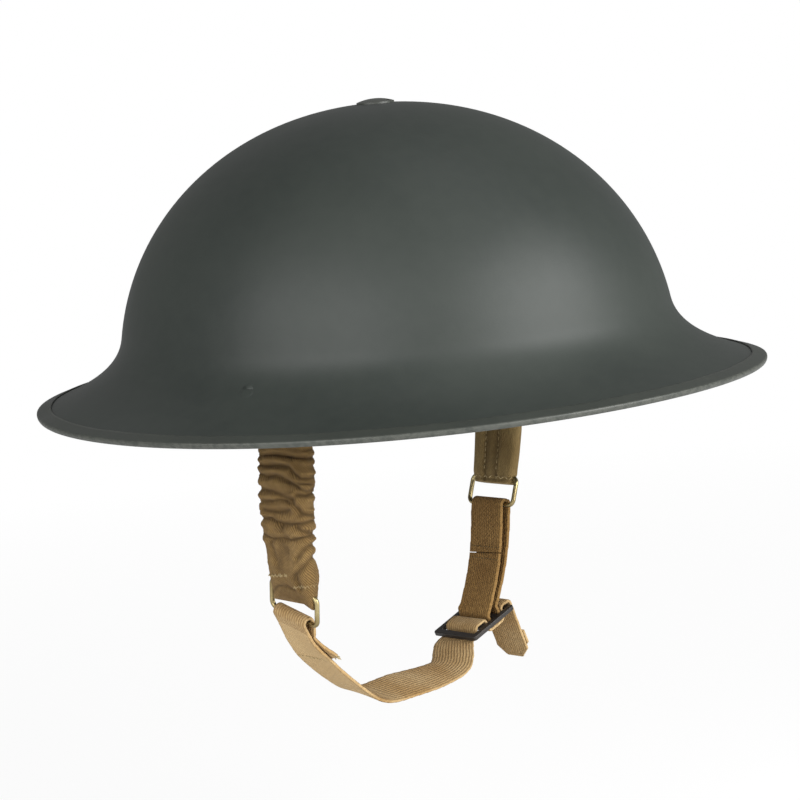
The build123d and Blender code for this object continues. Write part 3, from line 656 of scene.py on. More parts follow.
# The side profile of the outer face: the dome, then the flare of the brim, as half width and height
def shellProfile(values):
    power = 2 / values["fullness"]
    first = math.asin((values["crownFlat"] * 2 / values["domeLength"]) ** (1 / power))
    rise = (values["height"] - values["centreHeight"]) / math.cos(first) ** power
    last = math.acos(((values["flareHeight"] - values["centreHeight"]) / rise) ** (1 / power))

    def place(turn):
        return np.array([values["domeWidth"] / 2 * np.sin(turn) ** power, rise * np.cos(turn) ** power]).T

    dome = place(np.linspace(first, last, values["domeRows"])) + [0, values["centreHeight"]]
    step = unit(place(last) - place(last - math.radians(1)))
    fall = math.radians(values["slope"])
    corners = np.array([dome[-1], dome[-1] + step * values["startReach"],
                        [values["width"] / 2 - values["endReach"] * math.cos(fall),
                         values["endReach"] * math.sin(fall)], [values["width"] / 2, 0]])
    t = np.linspace(0, 1, values["flareSteps"])[:, None]
    flare = (1 - t) ** 3 * corners[0] + 3 * (1 - t) ** 2 * t * corners[1] + 3 * (1 - t) * t * t * corners[2] \
        + t ** 3 * corners[3]
    return dome, flare


# Points of the outer face: rows from the screw's hole to the brim's edge, and its outward directions
def shellFace(values):
    dome, flare = shellProfile(values)
    turns = ringTurns(values["around"])
    c, s = np.cos(turns), np.sin(turns)
    stretch = values["domeLength"] / values["domeWidth"]
    rows = []
    top = values["height"]
    flat = [(radius, radius, top) for radius in (values["holeRadius"], values["crownFlat"] * 0.7)]
    for long, wide, height in [*flat, *((width * stretch, width, height) for width, height in dome)]:
        rows.append(np.stack([long * c, wide * s, np.full_like(c, height)], 1))
    neck = flare[0, 0]
    growth = (values["length"] / 2 + values["frontReach"] - neck * stretch) / (values["width"] / 2 - neck)
    long = neck * stretch + (flare[:, 0] - neck) * growth
    out = (long[:, None] * c / (values["length"] / 2)) ** 2 + (flare[:, :1] * s / (values["width"] / 2)) ** 2
    share = np.linspace(0, 1, len(flare))
    ends = np.array([np.interp(1.0, out[:, k], share) for k in range(len(turns))])
    for step in range(1, values["flareRows"] + 1):
        at = ends * (1 - (1 - step / values["flareRows"]) ** values["rowSpread"])
        a, b, z = (np.interp(at, share, column) for column in (long, flare[:, 0], flare[:, 1]))
        rows.append(np.stack([a * c, b * s, z], 1))
    points = np.array(rows)
    points[..., 2] += values["rimLevel"]
    outward = squareTo(points)
    outward[:2] = (0, 0, 1)
    return points, outward


def makeShell(values, band):
    points, outward = shellFace(values)
    both = np.concatenate([points, (points - outward * values["thickness"])[::-1]])
    shell = gridMesh("steelShell", both, ringAcross=True, ringAlong=True)
    finishPiece(shell, "shellPaint", helmetBody, ["shell"])

    # The band: a folded section, led round the edge
    inwards, lifts = points[::-1], outward[::-1]
    lengths = np.concatenate([np.zeros((1, points.shape[1])),
                              np.cumsum(np.linalg.norm(np.diff(inwards, axis=0), axis=2), axis=0)])
    turns = np.arange(points.shape[1])
    reach = band["width"] + band["wander"] * waves(turns * 0.9, 3) - band["gap"]
    sheet = values["thickness"]

    # Places on the steel at a distance from its edge, with their outward directions
    def alongFace(distance):
        place, lift = (np.concatenate([sampleRows(distance[k:k + 1], lengths[:, k], rows[:, k]) for k in turns])
                       for rows in (inwards, lifts))
        return place, unit(lift)

    section, wornAndLit = [], []

    def addRow(share, height, wearAndHighlight=0.0):
        place, lift = alongFace(reach * share)
        section.append(place + lift * height)
        wornAndLit.append(wearAndHighlight)

    edge, edgeLift = alongFace(np.zeros(len(turns)))
    ahead = unit(edge - alongFace(np.ones(len(turns)))[0])
    top = band["gap"] + band["sheet"]
    for share, step, wearAndHighlight in band["outerRows"]:
        addRow(share, top - step, wearAndHighlight)
    middle = edge - edgeLift * sheet / 2
    for turn in band["foldTurns"]:
        a = math.radians(turn)
        section.append(middle + ahead * top * abs(math.cos(a)) ** band["foldFullness"]
                       + edgeLift * (sheet / 2 + top) * math.sin(a))
        wornAndLit.append(1.0 if turn < 60 else 0.6)
    for share, step, wearAndHighlight in band["innerRows"]:
        addRow(share, step - sheet - top, wearAndHighlight)
    for share, height in ((1.0, -sheet - band["inside"]), (0.1, -sheet - band["inside"]),
                          (0.1, band["inside"]), (1.0, band["inside"])):
        addRow(share, height)
    # Edge marks: bare metal at the fold and the band's edges, as wear and as a painted highlight
    marks = {"edge": np.repeat(np.array(wornAndLit)[:, None], len(turns), 1)}
    rim = gridMesh("foldedRimBand", np.array(section), ringAcross=True, ringAlong=True, marks=marks)
    finishPiece(rim, "rimPaint", helmetBody, ["rim_band"])
    return points, outward


shellPoints, shellOutward = makeShell(shellSizes, bandSizes)
print("shell and rim band made")


# Profiles are shares of the radius and of the height
rivetSizes = {
    "level": 7.0, "seat": 102.0, "seatDepth": 1.35, "shank": 2.5, "shankGap": 1.2, "highest": 40,
    "flush": 2.8, "proud": 0.14, "sunk": 0.6, "skirt": 0.02, "steps": 40,
    "flushProfile": ((0.93, 0.55), (0.7, 0.85), (0.35, 1)),
    "head": 4.0, "headHeight": 0.9, "headProfile": ((0.6, 0.95), (0.92, 0.5), (1, 0)), "tip": 0.05,
}


# A round piece: its profile is a list of radius and height along the axis
def turnedMesh(name, base, axis, profile):
    axis = unit(axis)
    side = unit(np.cross(axis, (0, 0, 1) if abs(axis[2]) < 0.9 else (1, 0, 0)))
    turns = ringTurns(rivetSizes["steps"])[:, None]
    circle = np.cos(turns) * side + np.sin(turns) * np.cross(axis, side)
    rows = [np.array(base) + axis * height + radius * circle for radius, height in profile]
    return gridMesh(name, np.array(rows), ringAcross=True, capped=True)


def makeRivets(values):
    pieces = []
    radius, proud, head, tall = (values[key] for key in ("flush", "proud", "head", "headHeight"))
    flushProfile = [(radius, -values["sunk"]), (radius, values["skirt"]),
                    *((radius * a, proud * b) for a, b in values["flushProfile"]), (values["tip"], proud)]
    headProfile = [(values["tip"], -tall), *((head * a, -tall * b) for a, b in values["headProfile"])]
    for side in (-1, 1):
        column = shellSizes["around"] * (3 if side < 0 else 1) // 4
        levels = shellPoints[:, column, 2]
        row = int(np.argmin(np.abs(levels - values["level"]) + 1000 * (levels > values["highest"])))
        base, axis = shellPoints[row, column], shellOutward[row, column]
        start = np.array([0, side * (values["seat"] - values["seatDepth"]), values["level"]])
        shank, length = values["shank"], abs(base[1]) - abs(start[1]) - values["shankGap"]
        pieces.append(turnedMesh("flushRivet", base, axis, flushProfile))
        pieces.append(turnedMesh("rivetShank", start, (0, side, 0), [(shank, 0), (shank, length)]))
        pieces.append(turnedMesh("rivetHead", start, (0, side, 0), headProfile))
    rivets = joinPieces("lugRivets", pieces)
    finishPiece(rivets, "shellPaint", helmetBody, ["lug_rivets"])


makeRivets(rivetSizes)

cadFinishes = {
    "screwPaint": ("crown_screw",),
    "rubber": ("crown_spacer", "rubber_buffer_front", "rubber_buffer_left", "rubber_buffer_rear",
               "rubber_buffer_right"),
    "steel": ("crown_washer", "crown_nut", "lug_washers", "strap_springs_right", "strap_springs_left"),
    "fibre": ("liner_hoop",),
    "brass": ("liner_rivets", "lug_clip_left", "lug_clip_right", "lug_bale_left", "lug_bale_right",
              "end_loop_right", "end_loop_left"),
    "blackPaint": ("slide_buckle",),
}
for finish, nodes in cadFinishes.items():
    for node in nodes:
        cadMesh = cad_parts[node].data
        cadMesh.materials.clear()
        cadMesh.materials.append(materials[finish])
print("rivets and metal fittings finished")


linerSizes = {
    "headband": {"length": 194, "width": 157, "inner": 0.0, "outer": 1.4, "bottom": 0.0, "top": 40.0},
    "backing": {"length": 194, "width": 157, "inner": 1.6, "outer": 4.6, "bottom": 4.0, "top": 36.0},
    "strapWidth": 24, "strapThickness": 1.2, "padHalf": 17.2, "hoopTop": 36.0, "foot": 12.0,
    "foreAftSpan": 104.7, "foreAftTop": 101.5, "sideSpan": 86.2, "sideTop": 100.3,
    "bandRows": 14, "bandAround": 160, "bandMap": 560, "archSteps": 60, "tapeRows": 90,
    "tapeEase": 0.3, "tapeWander": 0.25,
}
padSizes = {"reach": 58, "armHalf": 17, "hole": 13, "thickness": 9, "top": 98.9, "edge": 4.5,
            "foreAftSpan": 103.3, "sideSpan": 84.8, "step": 1.45, "fill": 0.5,
            "holeEase": (0.6, 0.9), "quiltDepth": 0.35, "quiltPace": 0.36, "insets": (0.1, 0.4),
            "weld": 0.00005}


# A closed band round the head, rounded at its top and bottom
def makeBand(name, sizes, material, nodes):
    turns = ringTurns(linerSizes["bandAround"])
    half = (sizes["outer"] - sizes["inner"]) / 2
    middle = (sizes["outer"] + sizes["inner"]) / 2
    heights = np.linspace(sizes["bottom"] + half, sizes["top"] - half, linerSizes["bandRows"])
    section = []
    for side in (1, -1):
        section += [(side * half, z) for z in heights[::side]]
        section += [(side * half * math.cos(a), heights[::side][-1] + side * half * math.sin(a))
                    for a in np.radians((30, 60, 90, 120, 150))]
    points = np.array([np.stack([(sizes["length"] / 2 + middle + offset) * np.cos(turns),
                                 (sizes["width"] / 2 + middle + offset) * np.sin(turns),
                                 np.full_like(turns, z)], 1) for offset, z in section])
    around = np.linspace(0, linerSizes["bandMap"], len(turns) + 1)
    up = np.array([z for _, z in [*section, section[0]]])
    band = gridMesh(name, points, ringAcross=True, ringAlong=True, across=around, along=up)
    return finishPiece(band, material, helmetBody, nodes)


# A liner strap's middle line: up from its foot, over the crown and down to the other foot
def archPath(span, top, inset):
    values = linerSizes
    rise = top - values["hoopTop"]
    full = rise / math.sqrt(1 - (values["padHalf"] / span) ** 2)
    half = []
    for x in np.linspace(0, 1, values["archSteps"]):
        across = (span - inset) * math.sin(x * math.pi / 2)
        height = min((full - inset) * math.sqrt(max(0, 1 - (across / (span - inset)) ** 2)), rise - inset)
        half.append((across, 0, values["hoopTop"] + height))
    half = np.array([*half, (span - inset, 0, values["foot"])])
    return evenSteps(np.concatenate([half[::-1] * (-1, 1, 1), half[1:]]), values["tapeRows"])


def makeLinerStraps(values):
    for name, span, top, node, turned in (
            ("foreAftTape", values["foreAftSpan"], values["foreAftTop"], "liner_strap_fore_aft", False),
            ("sideTape", values["sideSpan"], values["sideTop"], "liner_strap_side", True)):
        line = archPath(span, top, values["strapThickness"] / 2)
        sideways = (0, 1, 0)
        if turned:
            line = np.stack([-line[:, 1], line[:, 0], line[:, 2]], 1)
            sideways = (1, 0, 0)
        width = values["strapWidth"] - values["tapeEase"] + values["tapeWander"] * waves(np.arange(len(line)), 2)
        tape = ribbonMesh(name, line, sideways, width, values["strapThickness"])
        finishPiece(tape, "linerTape", helmetBody, [node])


# The height of the pad's upper face at a distance from the middle
def archHeight(distance, span, top):
    rise = top - linerSizes["hoopTop"]
    full = rise / math.sqrt(1 - (linerSizes["padHalf"] / span) ** 2)
    return linerSizes["hoopTop"] + np.minimum(full * np.sqrt(np.clip(1 - (distance / span) ** 2, 0, 1)), rise)


# A cross of cloth over felt, thin at its edges, with a hole at its middle
def makeCrownPad(values):
    steps = int(2 * values["reach"] / values["step"])
    grid = np.linspace(-values["reach"], values["reach"], steps + 1)
    near = [np.argmin(np.abs(grid - side * values["armHalf"])) for side in (-1, 1)]
    grid[near[0]], grid[near[1]] = -values["armHalf"], values["armHalf"]
    x, y = np.meshgrid(grid, grid, indexing="ij")
    inside = (np.abs(x) <= values["armHalf"] + 0.01) | (np.abs(y) <= values["armHalf"] + 0.01)
    radius = np.hypot(x, y)
    inside &= radius >= values["hole"] - values["holeEase"][0]
    snap = inside & (radius < values["hole"] + values["holeEase"][1])
    shift = np.where(snap, values["hole"] / np.maximum(radius, 0.1), 1.0)
    x, y = x * shift, y * shift
    radius = np.hypot(x, y)
    armX = np.minimum(values["armHalf"] - np.abs(y), values["reach"] - np.abs(x))
    armY = np.minimum(values["armHalf"] - np.abs(x), values["reach"] - np.abs(y))
    depth = np.minimum(np.maximum(armX, armY), radius - values["hole"])
    share = np.clip(depth / values["edge"], 0, 1)
    fullness = np.sqrt(1 - (1 - share) ** 2)
    top = np.where(np.abs(x) > np.abs(y), archHeight(np.abs(x), values["foreAftSpan"], values["top"]),
                   archHeight(np.abs(y), values["sideSpan"], values["top"]))
    middle, half = top - values["thickness"] / 2, values["thickness"] / 2
    quilt = values["quiltDepth"] * np.cos(x * values["quiltPace"]) * np.cos(y * values["quiltPace"])
    upper = middle + (half - values["insets"][0]) * fullness
    lower = middle - (half - values["insets"][1]) * fullness - quilt * fullness
    flat = np.stack([x[inside], y[inside]], 1)
    verts = np.concatenate([np.column_stack([flat, face[inside]]) for face in (upper, lower)])
    count = len(flat)
    index = -np.ones(x.shape, int)
    index[inside] = np.arange(count)
    corners = np.stack([index[:-1, :-1], index[1:, :-1], index[1:, 1:], index[:-1, 1:]], -1).reshape(-1, 4)
    above = corners[corners.min(1) >= 0].tolist()
    below = [[k + count for k in face[::-1]] for face in above]
    sides = Counter(tuple(sorted(side)) for face in above for side in zip(face, face[1:] + face[:1]))
    wall = [(a, b, b + count, a + count) for (a, b), used in sides.items() if used == 1]
    mesh = bpy.data.meshes.new("crownPad")
    mesh.from_pydata((verts / 1000).tolist(), [], above + below + wall)
    loops = [loop.vertex_index for loop in mesh.loops]
    mesh.uv_layers.new(name="cloth").data.foreach_set("uv", verts[loops, :2].astype(np.float32).ravel())
    turnOutward(mesh, values["weld"])
    pad = placeMesh("crownPad", mesh)
    finishPiece(pad, "padCloth", helmetBody, ["crown_pad"])


makeBand("headbandCloth", linerSizes["headband"], "oilcloth", ["headband"])
makeBand("feltBacking", linerSizes["backing"], "felt", ["headband_backing"])
makeLinerStraps(linerSizes)
makeCrownPad(padSizes)
print("liner made")


strapSizes = {
    "yaw": -16.0, "roll": 14.0, "loopHeight": 12.0, "loopWire": 2.0, "webbingWidth": 19.0,
    "webbingThickness": 1.5, "webbingGap": 0.35, "webbingEase": 0.35, "webbingWander": 0.3,
    "step": 0.55, "stations": 11, "threadRadius": 0.2,
    "topOffset": 90.157, "topLevel": -9.713,
    "rightEnd": (0, -93, -74), "rightRoute": ((0.966, 0.16), (0.991, 0.42), (1.008, 0.75)),
    "leftEnd": (2.5, 70, -60),
}
nearCover = {
    "width": 24.0, "thickness": 7.0, "hemWidth": 23.2, "hemThickness": 5.6, "rows": 310, "around": 168,
    "reach": (2.8, 5.0), "endFade": 0.03, "bulge": (1.3, -68.5, 4.5),
    "hemFrom": 0.9, "hemDrop": (1.4, 1.9), "hemWaves": ((0.5, 3, 0.6), (0.7, 2, math.pi / 2)),
    "crestShares": (0.13, 0.21, 0.29, 0.36, 0.44, 0.52, 0.60), "crestWidth": 0.35, "crestDepth": 0.5,
    "crestSpread": 0.022, "lowCrest": 0.7, "gather": (0.64, 0.05, 0.35, 3.1), "smoothBelow": -54,
    "creaseDepth": 1.35, "creaseWidth": 0.75, "shoulder": (0.42, 2.1, 1.1), "flank": 0.75,
    "widthVary": (1, 0.25, 2.3), "depthVary": (0.8, 0.3, 1.9), "creaseTail": 1.3, "puffRange": (1.3, 0.7),
    "puff": 0.5, "softness": ((1.0, 0.2, 0.24, 3.1), (0.5, 0.5, 0.6, 7.7), (0.3, 0.9, 1.3, 1.7)),
    # Creases of the outer face: share across from edge to edge, and level
    "creases": (
        ((-1.0, -25.3), (-0.72, -25.1), (-0.28, -24.9), (0.12, -25.3), (0.3, -28.0), (0.56, -29.9), (1.0, -30.1)),
        ((-1.0, -28.4), (-0.72, -29.4), (-0.35, -28.9), (0.06, -30.8), (0.37, -32.2), (0.6, -34.1), (0.84, -35.1),
         (1.0, -34.4)),
        ((0.5, -31.8), (0.9, -32.2)),
        ((-1.0, -34.6), (-0.5, -34.9), (-0.19, -36.0), (0.08, -37.2), (0.3, -37.7)),
        ((0.5, -36.0), (0.8, -36.5), (1.0, -36.0)),
        ((-0.9, -38.9), (-0.52, -38.9), (-0.25, -37.9), (0.07, -38.4), (0.25, -39.4)),
        ((0.3, -37.9), (0.42, -40.3), (0.6, -42.7), (1.0, -44.6)),
        ((-0.95, -46.0), (-0.6, -45.6), (-0.22, -47.5), (0.2, -47.5), (0.58, -47.2), (1.0, -46.5)),
        ((-0.2, -47.9), (-0.15, -50.3), (0.0, -52.7)),
        ((0.45, -48.4), (0.72, -50.3), (1.0, -51.3)),
        ((-0.95, -52.2), (-0.55, -53.7), (-0.22, -53.2), (0.2, -53.7), (0.6, -52.7), (1.0, -51.8)),
        ((-1.0, -21.5), (-0.4, -20.6), (0.3, -21.8), (1.0, -22.4)),
        ((-0.8, -42.2), (-0.3, -42.8), (0.2, -42.0)),
    ),
    # Seam, dent and hem line: each with its width, depth and strength of painted shade
    "lines": (
        (((0.09, -54.2), (0.02, -60.0), (-0.04, -64.6), (-0.02, -70.0)), 0.45, 0.5, 0.7),
        (((-0.12, -54.2), (-0.28, -59.0), (-0.48, -65.6)), 1.5, 0.75, 0.65),
        (((-0.95, -74.6), (-0.6, -72.9), (-0.2, -72.2), (0.2, -73.7)), 0.6, 0.45, 0.8),
    ),
    "folds": (((1.0, -60.6), (0.6, -64.2), (0.2, -68.6)), ((0.35, -68.4), (0.48, -72.2)),
              ((-0.66, -55.2), (-0.56, -62.4)), ((1.0, -55.6), (0.62, -57.6), (0.4, -60.6))),
    "foldDepth": 0.7, "foldWidth": 1.0, "foldShoulder": (0.35, 2.4, 1.3), "foldShade": 0.65,
    "stitchRows": ((-0.98, -0.1, -69.0, -67.9), (0.22, 0.97, -72.4, -71.4)), "stitchCount": 13,
    "stitchReach": (0.75, 0.55), "stitchLift": 0.12,
}
farCover = {
    "width": 24.0, "thickness": 7.0, "hemWidth": 22.4, "hemThickness": 5.6, "rows": 130, "around": 120,
    "reach": (2.8, 2.9), "endFade": 0.04, "softness": ((0.3, 2.0, 0.12, 1.3),),
    "channels": (-0.47, 0.03), "channelDepth": 1.1, "channelWidth": 1.0,
    "crossLevel": -60.6, "crossWidth": 0.7, "crossDepth": 0.4, "crossShade": 0.5,
    "stitchSpan": (4, 5, 2.6), "stitchReach": 0.9, "stitchLift": 0.2, "threadRadius": 0.26,
    "crossFrom": -0.85, "crossStep": 0.165, "crossCount": 11, "crossReach": (0.7, 0.6), "crossLift": 0.1,
}
# Shared by both covers: the view that the creases are laid out in, and half of the width seen in it
coverShare = {"hemEnd": 0.09, "roundness": 2.7, "sideFlatness": 0.62, "mapClose": 0.8,
              "view": (0.857, 0.515), "half": 11.3}


# A strap's middle line with its directions, led on past both of its ends where reach is given
class StrapLine:
    def __init__(self, places, yaw, roll, count, reach=(0, 0)):
        self.line = curveThrough(places, count)
        self.ahead = unit(np.gradient(self.line, axis=0))
        if any(reach):
            start, end = self.line[0] - self.ahead[0] * reach[0], self.line[-1] + self.ahead[-1] * reach[1]
            self.line = evenSteps(np.array([start, *self.line, end]), count)
            self.ahead = unit(np.gradient(self.line, axis=0))
        shares = np.linspace(0, 1, count)
        across = np.array([widthDirection(yaw * share, roll * share) for share in shares])
        self.ahead = unit(self.ahead - across * (across * self.ahead).sum(1, keepdims=True))
        self.across = across
        self.outward = np.cross(self.ahead, across)
        self.shares = shares


def rightRoute(values):
    top = np.array([0, -values["topOffset"], values["topLevel"]])
    end = np.array(values["rightEnd"], float)
    route = [(0, end[1] * y, top[2] + (end[2] - top[2]) * z) for y, z in values["rightRoute"]]
    return [top, *route, end]


def leftRoute(values):
    top = np.array([0, values["topOffset"], values["topLevel"]])
    end = np.array(values["leftEnd"], float)
    return [top, (top + end) / 2, end]


rightLine = StrapLine(rightRoute(strapSizes), strapSizes["yaw"], strapSizes["roll"], 200)
leftLine = StrapLine(leftRoute(strapSizes), strapSizes["yaw"], 0, 200)


def bell(distance, width):
    return np.exp(-(distance / width) ** 2)


# How far each place is from a broken line, whose corners are a share across and a level
def gapTo(places, corners):
    best = np.full(len(places), 1e9)
    corners = np.array(corners, float) * (coverShare["half"], 1)
    for start, end in zip(corners, corners[1:]):
        way = end - start
        share = np.clip(((places - start) @ way) / (way @ way), 0, 1)
        best = np.minimum(best, np.linalg.norm(places - start - share[:, None] * way, axis=1))
    return best


# Soft unevenness: each layer has a strength, a pace across, a pace along and a seed
def softNoise(across, levels, layers):
    return np.array([sum(strength * noise.noise(Vector((a * paceAcross, z * paceAlong, seed)))
                         for strength, paceAcross, paceAlong, seed in layers) for a, z in zip(across, levels)])


# 0 at both ends and 1 from the given length on
def endFade(shares, length):
    return np.clip(np.minimum(shares, 1 - shares) / length, 0, 1)


# The sleeve's outline at each row: half width and half thickness
def sleeveHalves(values, shares):
    ease = endFade(shares, coverShare["hemEnd"])
    ease = ease * ease * (3 - 2 * ease)
    width = values["hemWidth"] + (values["width"] - values["hemWidth"]) * ease
    depth = values["hemThickness"] + (values["thickness"] - values["hemThickness"]) * ease
    return width / 2, depth / 2


# The sleeve's points and outward directions, how far across each is seen, and its places round the cloth
def sleevePoints(line, values, widths, depths):
    turns = ringTurns(values["around"])
    power = 2 / coverShare["roundness"]
    c, s = np.cos(turns), np.sin(turns)
    x = widths[:, None] * (np.sign(c) * np.abs(c) ** (power * coverShare["sideFlatness"]))[None]
    y = depths[:, None] * (np.sign(s) * np.abs(s) ** power)[None]
    points = line.line[:, None] + line.across[:, None] * x[..., None] + line.outward[:, None] * y[..., None]
    lift = squareTo(points)
    lift *= np.sign(((points - line.line[:, None]) * lift).sum(-1, keepdims=True))
    lengths = np.concatenate([[0], np.cumsum(np.hypot(np.diff(x[len(x) // 2]), np.diff(y[len(y) // 2])))])
    across = np.concatenate([lengths, [lengths[-1] + coverShare["mapClose"]]])
    seen = coverShare["view"][0] * x - coverShare["view"][1] * y
    return points, lift, seen / np.abs(seen).max(axis=1, keepdims=True), across, turns


# The cover, with its mark of painted shade and an empty edge mark
def finishCover(name, points, line, across, hollow, material, node):
    marks = {"hollow": hollow.reshape(points.shape[:2]), "edge": np.zeros(points.shape[:2])}
    cover = gridMesh(name, points, ringAcross=True, across=across, along=lengthsAlong(line.line), capped=True,
                     marks=marks)
    finishPiece(cover, material, strapBody, [node])


def makeNearCover(values):
    line = StrapLine(rightRoute(strapSizes), strapSizes["yaw"], strapSizes["roll"], values["rows"],
                     values["reach"])
    widths, depths = sleeveHalves(values, line.shares)
    for index, crest in enumerate(values["crestShares"]):
        swell = bell(line.shares - crest, values["crestSpread"]) * (1 if index % 3 else values["lowCrest"])
        widths = widths + values["crestWidth"] * swell
        depths = depths + values["crestDepth"] * swell
    last, fade, size, pace = values["gather"]
    gathered = np.clip(1 - (line.shares - last) / fade, 0, 1)
    widths = widths + size * waves(line.line[:, 2] * pace, 5) * gathered
    points, lift, seen, across, turns = sleevePoints(line, values, widths, depths)
    level, half = points[..., 2], coverShare["half"]
    places = np.stack([(seen * half).ravel(), level.ravel()], 1)
    depth, hollow = np.zeros(len(places)), np.zeros(len(places))
    flank = 1 - values["flank"] * np.abs(places[:, 0] / half) ** 3
    height, away, spread = values["shoulder"]
    # Each crease is pressed in, with a shoulder beside it, and gets painted shade in its furrow
    for index, crease in enumerate(values["creases"]):
        gap = gapTo(places, crease)
        wide, deep = (values[key] * (vary[0] + vary[1] * math.sin(index * vary[2])) for key, vary in
                      (("creaseWidth", values["widthVary"]), ("creaseDepth", values["depthVary"])))
        furrow = 0.5 * bell(gap, wide) + 0.5 * np.exp(-values["creaseTail"] * gap / wide)
        depth -= deep * furrow * flank
        depth += height * bell(gap - away, spread)
        hollow = np.maximum(hollow, furrow)
    # Seam, dent and hem line are pressed in and get painted shade
    for corners, wide, deep, dark in values["lines"]:
        furrow = bell(gapTo(places, corners), wide)
        depth -= deep * furrow
        hollow = np.maximum(hollow, dark * furrow)
    # Folds: a shoulder, a furrow, and painted shade in the furrow
    height, away, spread = values["foldShoulder"]
    for fold in values["folds"]:
        gap = gapTo(places, fold)
        furrow = bell(gap, values["foldWidth"])
        depth += height * bell(gap - away, spread) - values["foldDepth"] * furrow
        hollow = np.maximum(hollow, values["foldShade"] * furrow)
    swell, middle, spread = values["bulge"]
    depth += swell * bell(places[:, 1] - middle, spread) * np.clip(places[:, 0] / half, 0, 1)
    smooth = np.clip((values["smoothBelow"] - places[:, 1]) / 2, 0, 1)
    loose = values["puffRange"][0] - values["puffRange"][1] * smooth
    depth += values["puff"] * softNoise(*places.T, values["softness"]) * loose
    depth = depth.reshape(level.shape) * endFade(line.shares, values["endFade"])[:, None]
    points = points + lift * depth[..., None]
    # The hem's end is drawn up at its middle and down at its corners
    drawn, cornered = values["hemDrop"]
    drop = drawn * sum(size * np.sin(turns * pace + lead) for size, pace, lead in values["hemWaves"]) \
        - cornered * np.cos(turns)
    fall = np.clip((line.shares - values["hemFrom"]) / (1 - values["hemFrom"]), 0, 1)[:, None] ** 2
    points = points + line.ahead[:, None] * (drop[None] * fall)[..., None]
    finishCover("gatheredCover", points, line, across, hollow, "nearCanvas", "spring_cover_right")

    # Rows of cross stitches near the hem
    stitches = []
    sideReach, downReach = values["stitchReach"]
    for first, last, start, end in values["stitchRows"]:
        for k in range(values["stitchCount"]):
            share = k / (values["stitchCount"] - 1)
            a, z = first + (last - first) * share, start + (end - start) * share
            gap = np.where(turns < math.pi, np.abs(seen - a) * half + np.abs(level - z), 1e9)
            row, column = np.unravel_index(np.argmin(gap), gap.shape)
            reach = line.across[row] * sideReach + line.ahead[row] * (downReach if k % 2 else -downReach)
            addStitch(stitches, points[row, column], reach, lift[row, column], values["stitchLift"])
    sew("coverStitches", stitches, strapSizes["threadRadius"], "thread")


def makeFarCover(values):
    line = StrapLine(leftRoute(strapSizes), strapSizes["yaw"], 0, values["rows"], values["reach"])
    points, lift, seen, across, turns = sleevePoints(line, values, *sleeveHalves(values, line.shares))
    level = points[..., 2]
    depth, hollow = np.zeros_like(level), np.zeros_like(level)
    # The channels and the cross-stitched band are pressed in and get painted shade
    for channel in values["channels"]:
        furrow = bell((seen - channel) * coverShare["half"], values["channelWidth"])
        depth -= values["channelDepth"] * furrow
        hollow = np.maximum(hollow, furrow)
    band = bell(level - values["crossLevel"], values["crossWidth"])
    depth -= values["crossDepth"] * band
    hollow = np.maximum(hollow, values["crossShade"] * band)
    depth += softNoise(seen.ravel(), level.ravel(), values["softness"]).reshape(level.shape)
    points = points + lift * (depth * endFade(line.shares, values["endFade"])[:, None])[..., None]
    lengths = lengthsAlong(line.line)
    finishCover("stitchedCover", points, line, across, hollow, "farCanvas", "spring_cover_left")

    # Stitches along both channels and a row of cross stitches, on the front and the back
    stitches = []
    before, after, step = values["stitchSpan"]
    sideReach, downReach = values["crossReach"]
    for front in (True, False):
        columns = np.nonzero((turns < math.pi) == front)[0]

        def columnAt(row, share):
            return columns[int(np.argmin(np.abs(seen[row, columns] - share)))]

        for channel in values["channels"]:
            for place in np.arange(before, lengths[-1] - after, step):
                row = int(np.argmin(np.abs(lengths - place)))
                column = columnAt(row, channel)
                addStitch(stitches, points[row, column], line.ahead[row] * values["stitchReach"],
                          lift[row, column], values["stitchLift"])
        row = int(np.argmin(np.abs(line.line[:, 2] - values["crossLevel"])))
        for k in range(values["crossCount"]):
            column = columnAt(row, values["crossFrom"] + values["crossStep"] * k)
            reach = line.across[row] * sideReach + line.ahead[row] * (downReach if k % 2 else -downReach)
            addStitch(stitches, points[row, column], reach, lift[row, column], values["crossLift"])
    sew("channelStitches", stitches, values["threadRadius"], "thread")


makeNearCover(nearCover)
makeFarCover(farCover)
print("canvas covers made")

